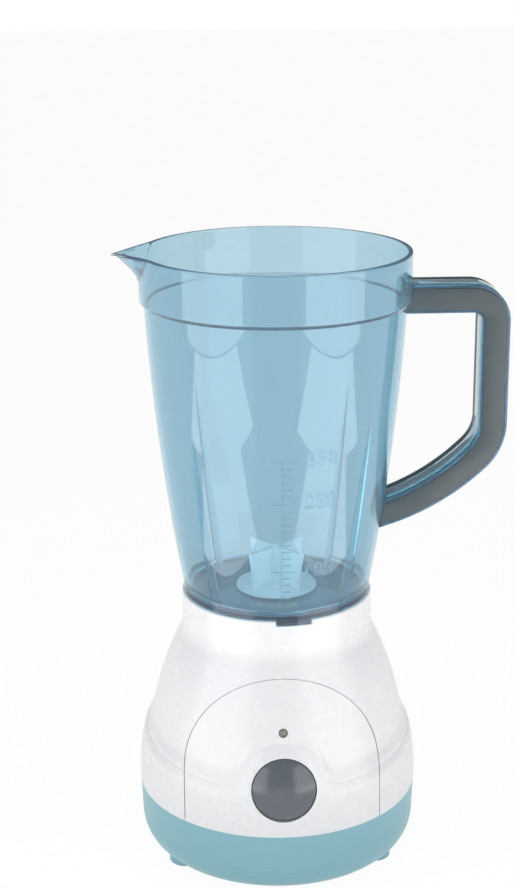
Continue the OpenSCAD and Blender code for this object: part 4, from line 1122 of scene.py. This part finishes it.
class TOYBLENDER_OT_studio(bpy.types.Operator):
    """Sets the pale floor, the soft lights, the world and the camera"""

    bl_idname = "toyblender.studio"
    bl_label = "Studio"

    bright_share = 0.88

    def floor(self):
        """A paper sweep that looks white and keeps a part of the object's shadow."""
        bm = bmesh.new()
        bmesh.ops.create_grid(bm, x_segments=1, y_segments=1, size=6)
        obj = as_object("studio_floor", bm)
        material = bpy.data.materials.new("White paper sweep")
        material.use_nodes = True
        tree = material.node_tree
        tree.nodes.clear()
        seen = seen_by(tree, "Is Camera Ray", "Is Glossy Ray", "Is Transmission Ray")
        share = add(tree, "Math", {0: seen, 1: self.bright_share}, operation="MULTIPLY")
        paper = add(tree, "BsdfDiffuse", {"Color": (0.96, 0.96, 0.96, 1)})
        glow = add(tree, "Emission", {"Color": WHITE, "Strength": 1.06})
        both = add(tree, "MixShader", {0: share.outputs[0], 1: paper.outputs[0], 2: glow.outputs[0]})
        add(tree, "OutputMaterial", {"Surface": both.outputs[0]})
        obj.data.materials.append(material)

    def world(self, scene, ambient):
        world = bpy.data.worlds.new("Studio")
        scene.world = world
        world.use_nodes = True
        tree = world.node_tree
        tree.nodes.clear()
        seen = seen_by(tree, "Is Camera Ray", "Is Transmission Ray")
        all_round = add(tree, "Background", {"Color": WHITE, "Strength": ambient})
        behind = add(tree, "Background", {"Color": WHITE, "Strength": 1.0})
        both = add(tree, "MixShader", {0: seen, 1: all_round.outputs[0], 2: behind.outputs[0]})
        add(tree, "OutputWorld", {"Surface": both.outputs[0]})

    def panel(self, scene, name, radiance, size, place, tilt, turn):
        """A light panel of that width and depth, with tilt from lying flat and facing up."""
        data = bpy.data.lights.new(name, "AREA")
        data.shape = "RECTANGLE"
        data.size, data.size_y = size
        data.energy = radiance * math.pi * size[0] * size[1]
        obj = bpy.data.objects.new(name, data)
        obj.location = place
        obj.rotation_euler = (math.radians(180) - tilt, 0, turn)
        obj.visible_camera = False
        scene.collection.objects.link(obj)

    def softbox(self, scene, name, angle, width):
        """A softbox that faces the axis, at angle degrees from the front, with a low panel before it
        that throws light up under the jug."""
        s = scene.toy_studio
        turn = math.radians(angle)
        out = Vector((math.sin(turn), -math.cos(turn), 0))
        upright = out * 0.62 + Vector((0, 0, 0.2425))
        self.panel(scene, name, s.glow, (width, 0.455), upright, math.radians(90), turn)
        for near, far in ((0.2, 0.36), (0.36, 0.62)):
            middle = (near + far) / 2
            flat = out * middle + Vector((0, 0, 0.012))
            size = (width * middle / 0.68, far - near)
            self.panel(scene, f"{name}_low_{near}", s.low_glow, size, flat, 0, turn)

    def execute(self, context):
        scene = context.scene
        s = scene.toy_studio
        scene.view_settings.view_transform = "Standard"
        self.floor()
        self.world(scene, s.ambient)
        self.softbox(scene, "left_softbox", -56, 0.64)
        self.softbox(scene, "right_softbox", 47, 0.605)
        self.panel(scene, "top_panel", s.top_glow, (0.45, 0.45), (0, 0, 0.95), math.radians(180), 0)
        camera = bpy.data.cameras.new("camera")
        camera.lens = s.lens
        camera.sensor_width = 36
        camera.sensor_fit = "AUTO"
        obj = bpy.data.objects.new("camera", camera)
        obj.location = s.place
        look = Matrix.Rotation(-s.turn, 4, "Z") @ Matrix.Rotation(math.radians(90) - s.pitch, 4, "X")
        obj.rotation_euler = (look @ Matrix.Rotation(s.roll, 4, "Z")).to_euler()
        scene.collection.objects.link(obj)
        scene.camera = obj
        return {"FINISHED"}


class TOYBLENDER_PT_pieces(bpy.types.Panel):
    """Lists the pieces of the toy blender"""

    bl_idname = "TOYBLENDER_PT_pieces"
    bl_label = "Toy blender"
    bl_space_type = "VIEW_3D"
    bl_region_type = "UI"
    bl_category = "Toy blender"

    def draw(self, context):
        column = self.layout.column()
        for operator in OPERATORS:
            column.operator(operator.bl_idname)
        for owner, group in SETTINGS.items():
            for name in group.__annotations__:
                column.prop(getattr(context.scene, owner), name)


SETTINGS = {
    "toy_base": BaseSizes,
    "toy_button": ButtonSizes,
    "toy_jug": JugSizes,
    "toy_handle": HandleSizes,
    "toy_impeller": ImpellerSizes,
    "toy_finishes": Finishes,
    "toy_studio": StudioSettings,
}
OPERATORS = (
    TOYBLENDER_OT_frame_finishes,
    TOYBLENDER_OT_base_shell,
    TOYBLENDER_OT_button,
    TOYBLENDER_OT_jug,
    TOYBLENDER_OT_scale,
    TOYBLENDER_OT_handle,
    TOYBLENDER_OT_impeller,
    TOYBLENDER_OT_studio,
)
CLASSES = (*SETTINGS.values(), *OPERATORS, TOYBLENDER_PT_pieces)


def register():
    for cls in CLASSES:
        bpy.utils.register_class(cls)
    for name, group in SETTINGS.items():
        setattr(bpy.types.Scene, name, PointerProperty(type=group))


def unregister():
    for name in SETTINGS:
        delattr(bpy.types.Scene, name)
    for cls in reversed(CLASSES):
        bpy.utils.unregister_class(cls)


def main():
    register()
    for operator in OPERATORS:
        group, name = operator.bl_idname.split(".")
        getattr(getattr(bpy.ops, group), name)()


if __name__ == "__main__":
    main()
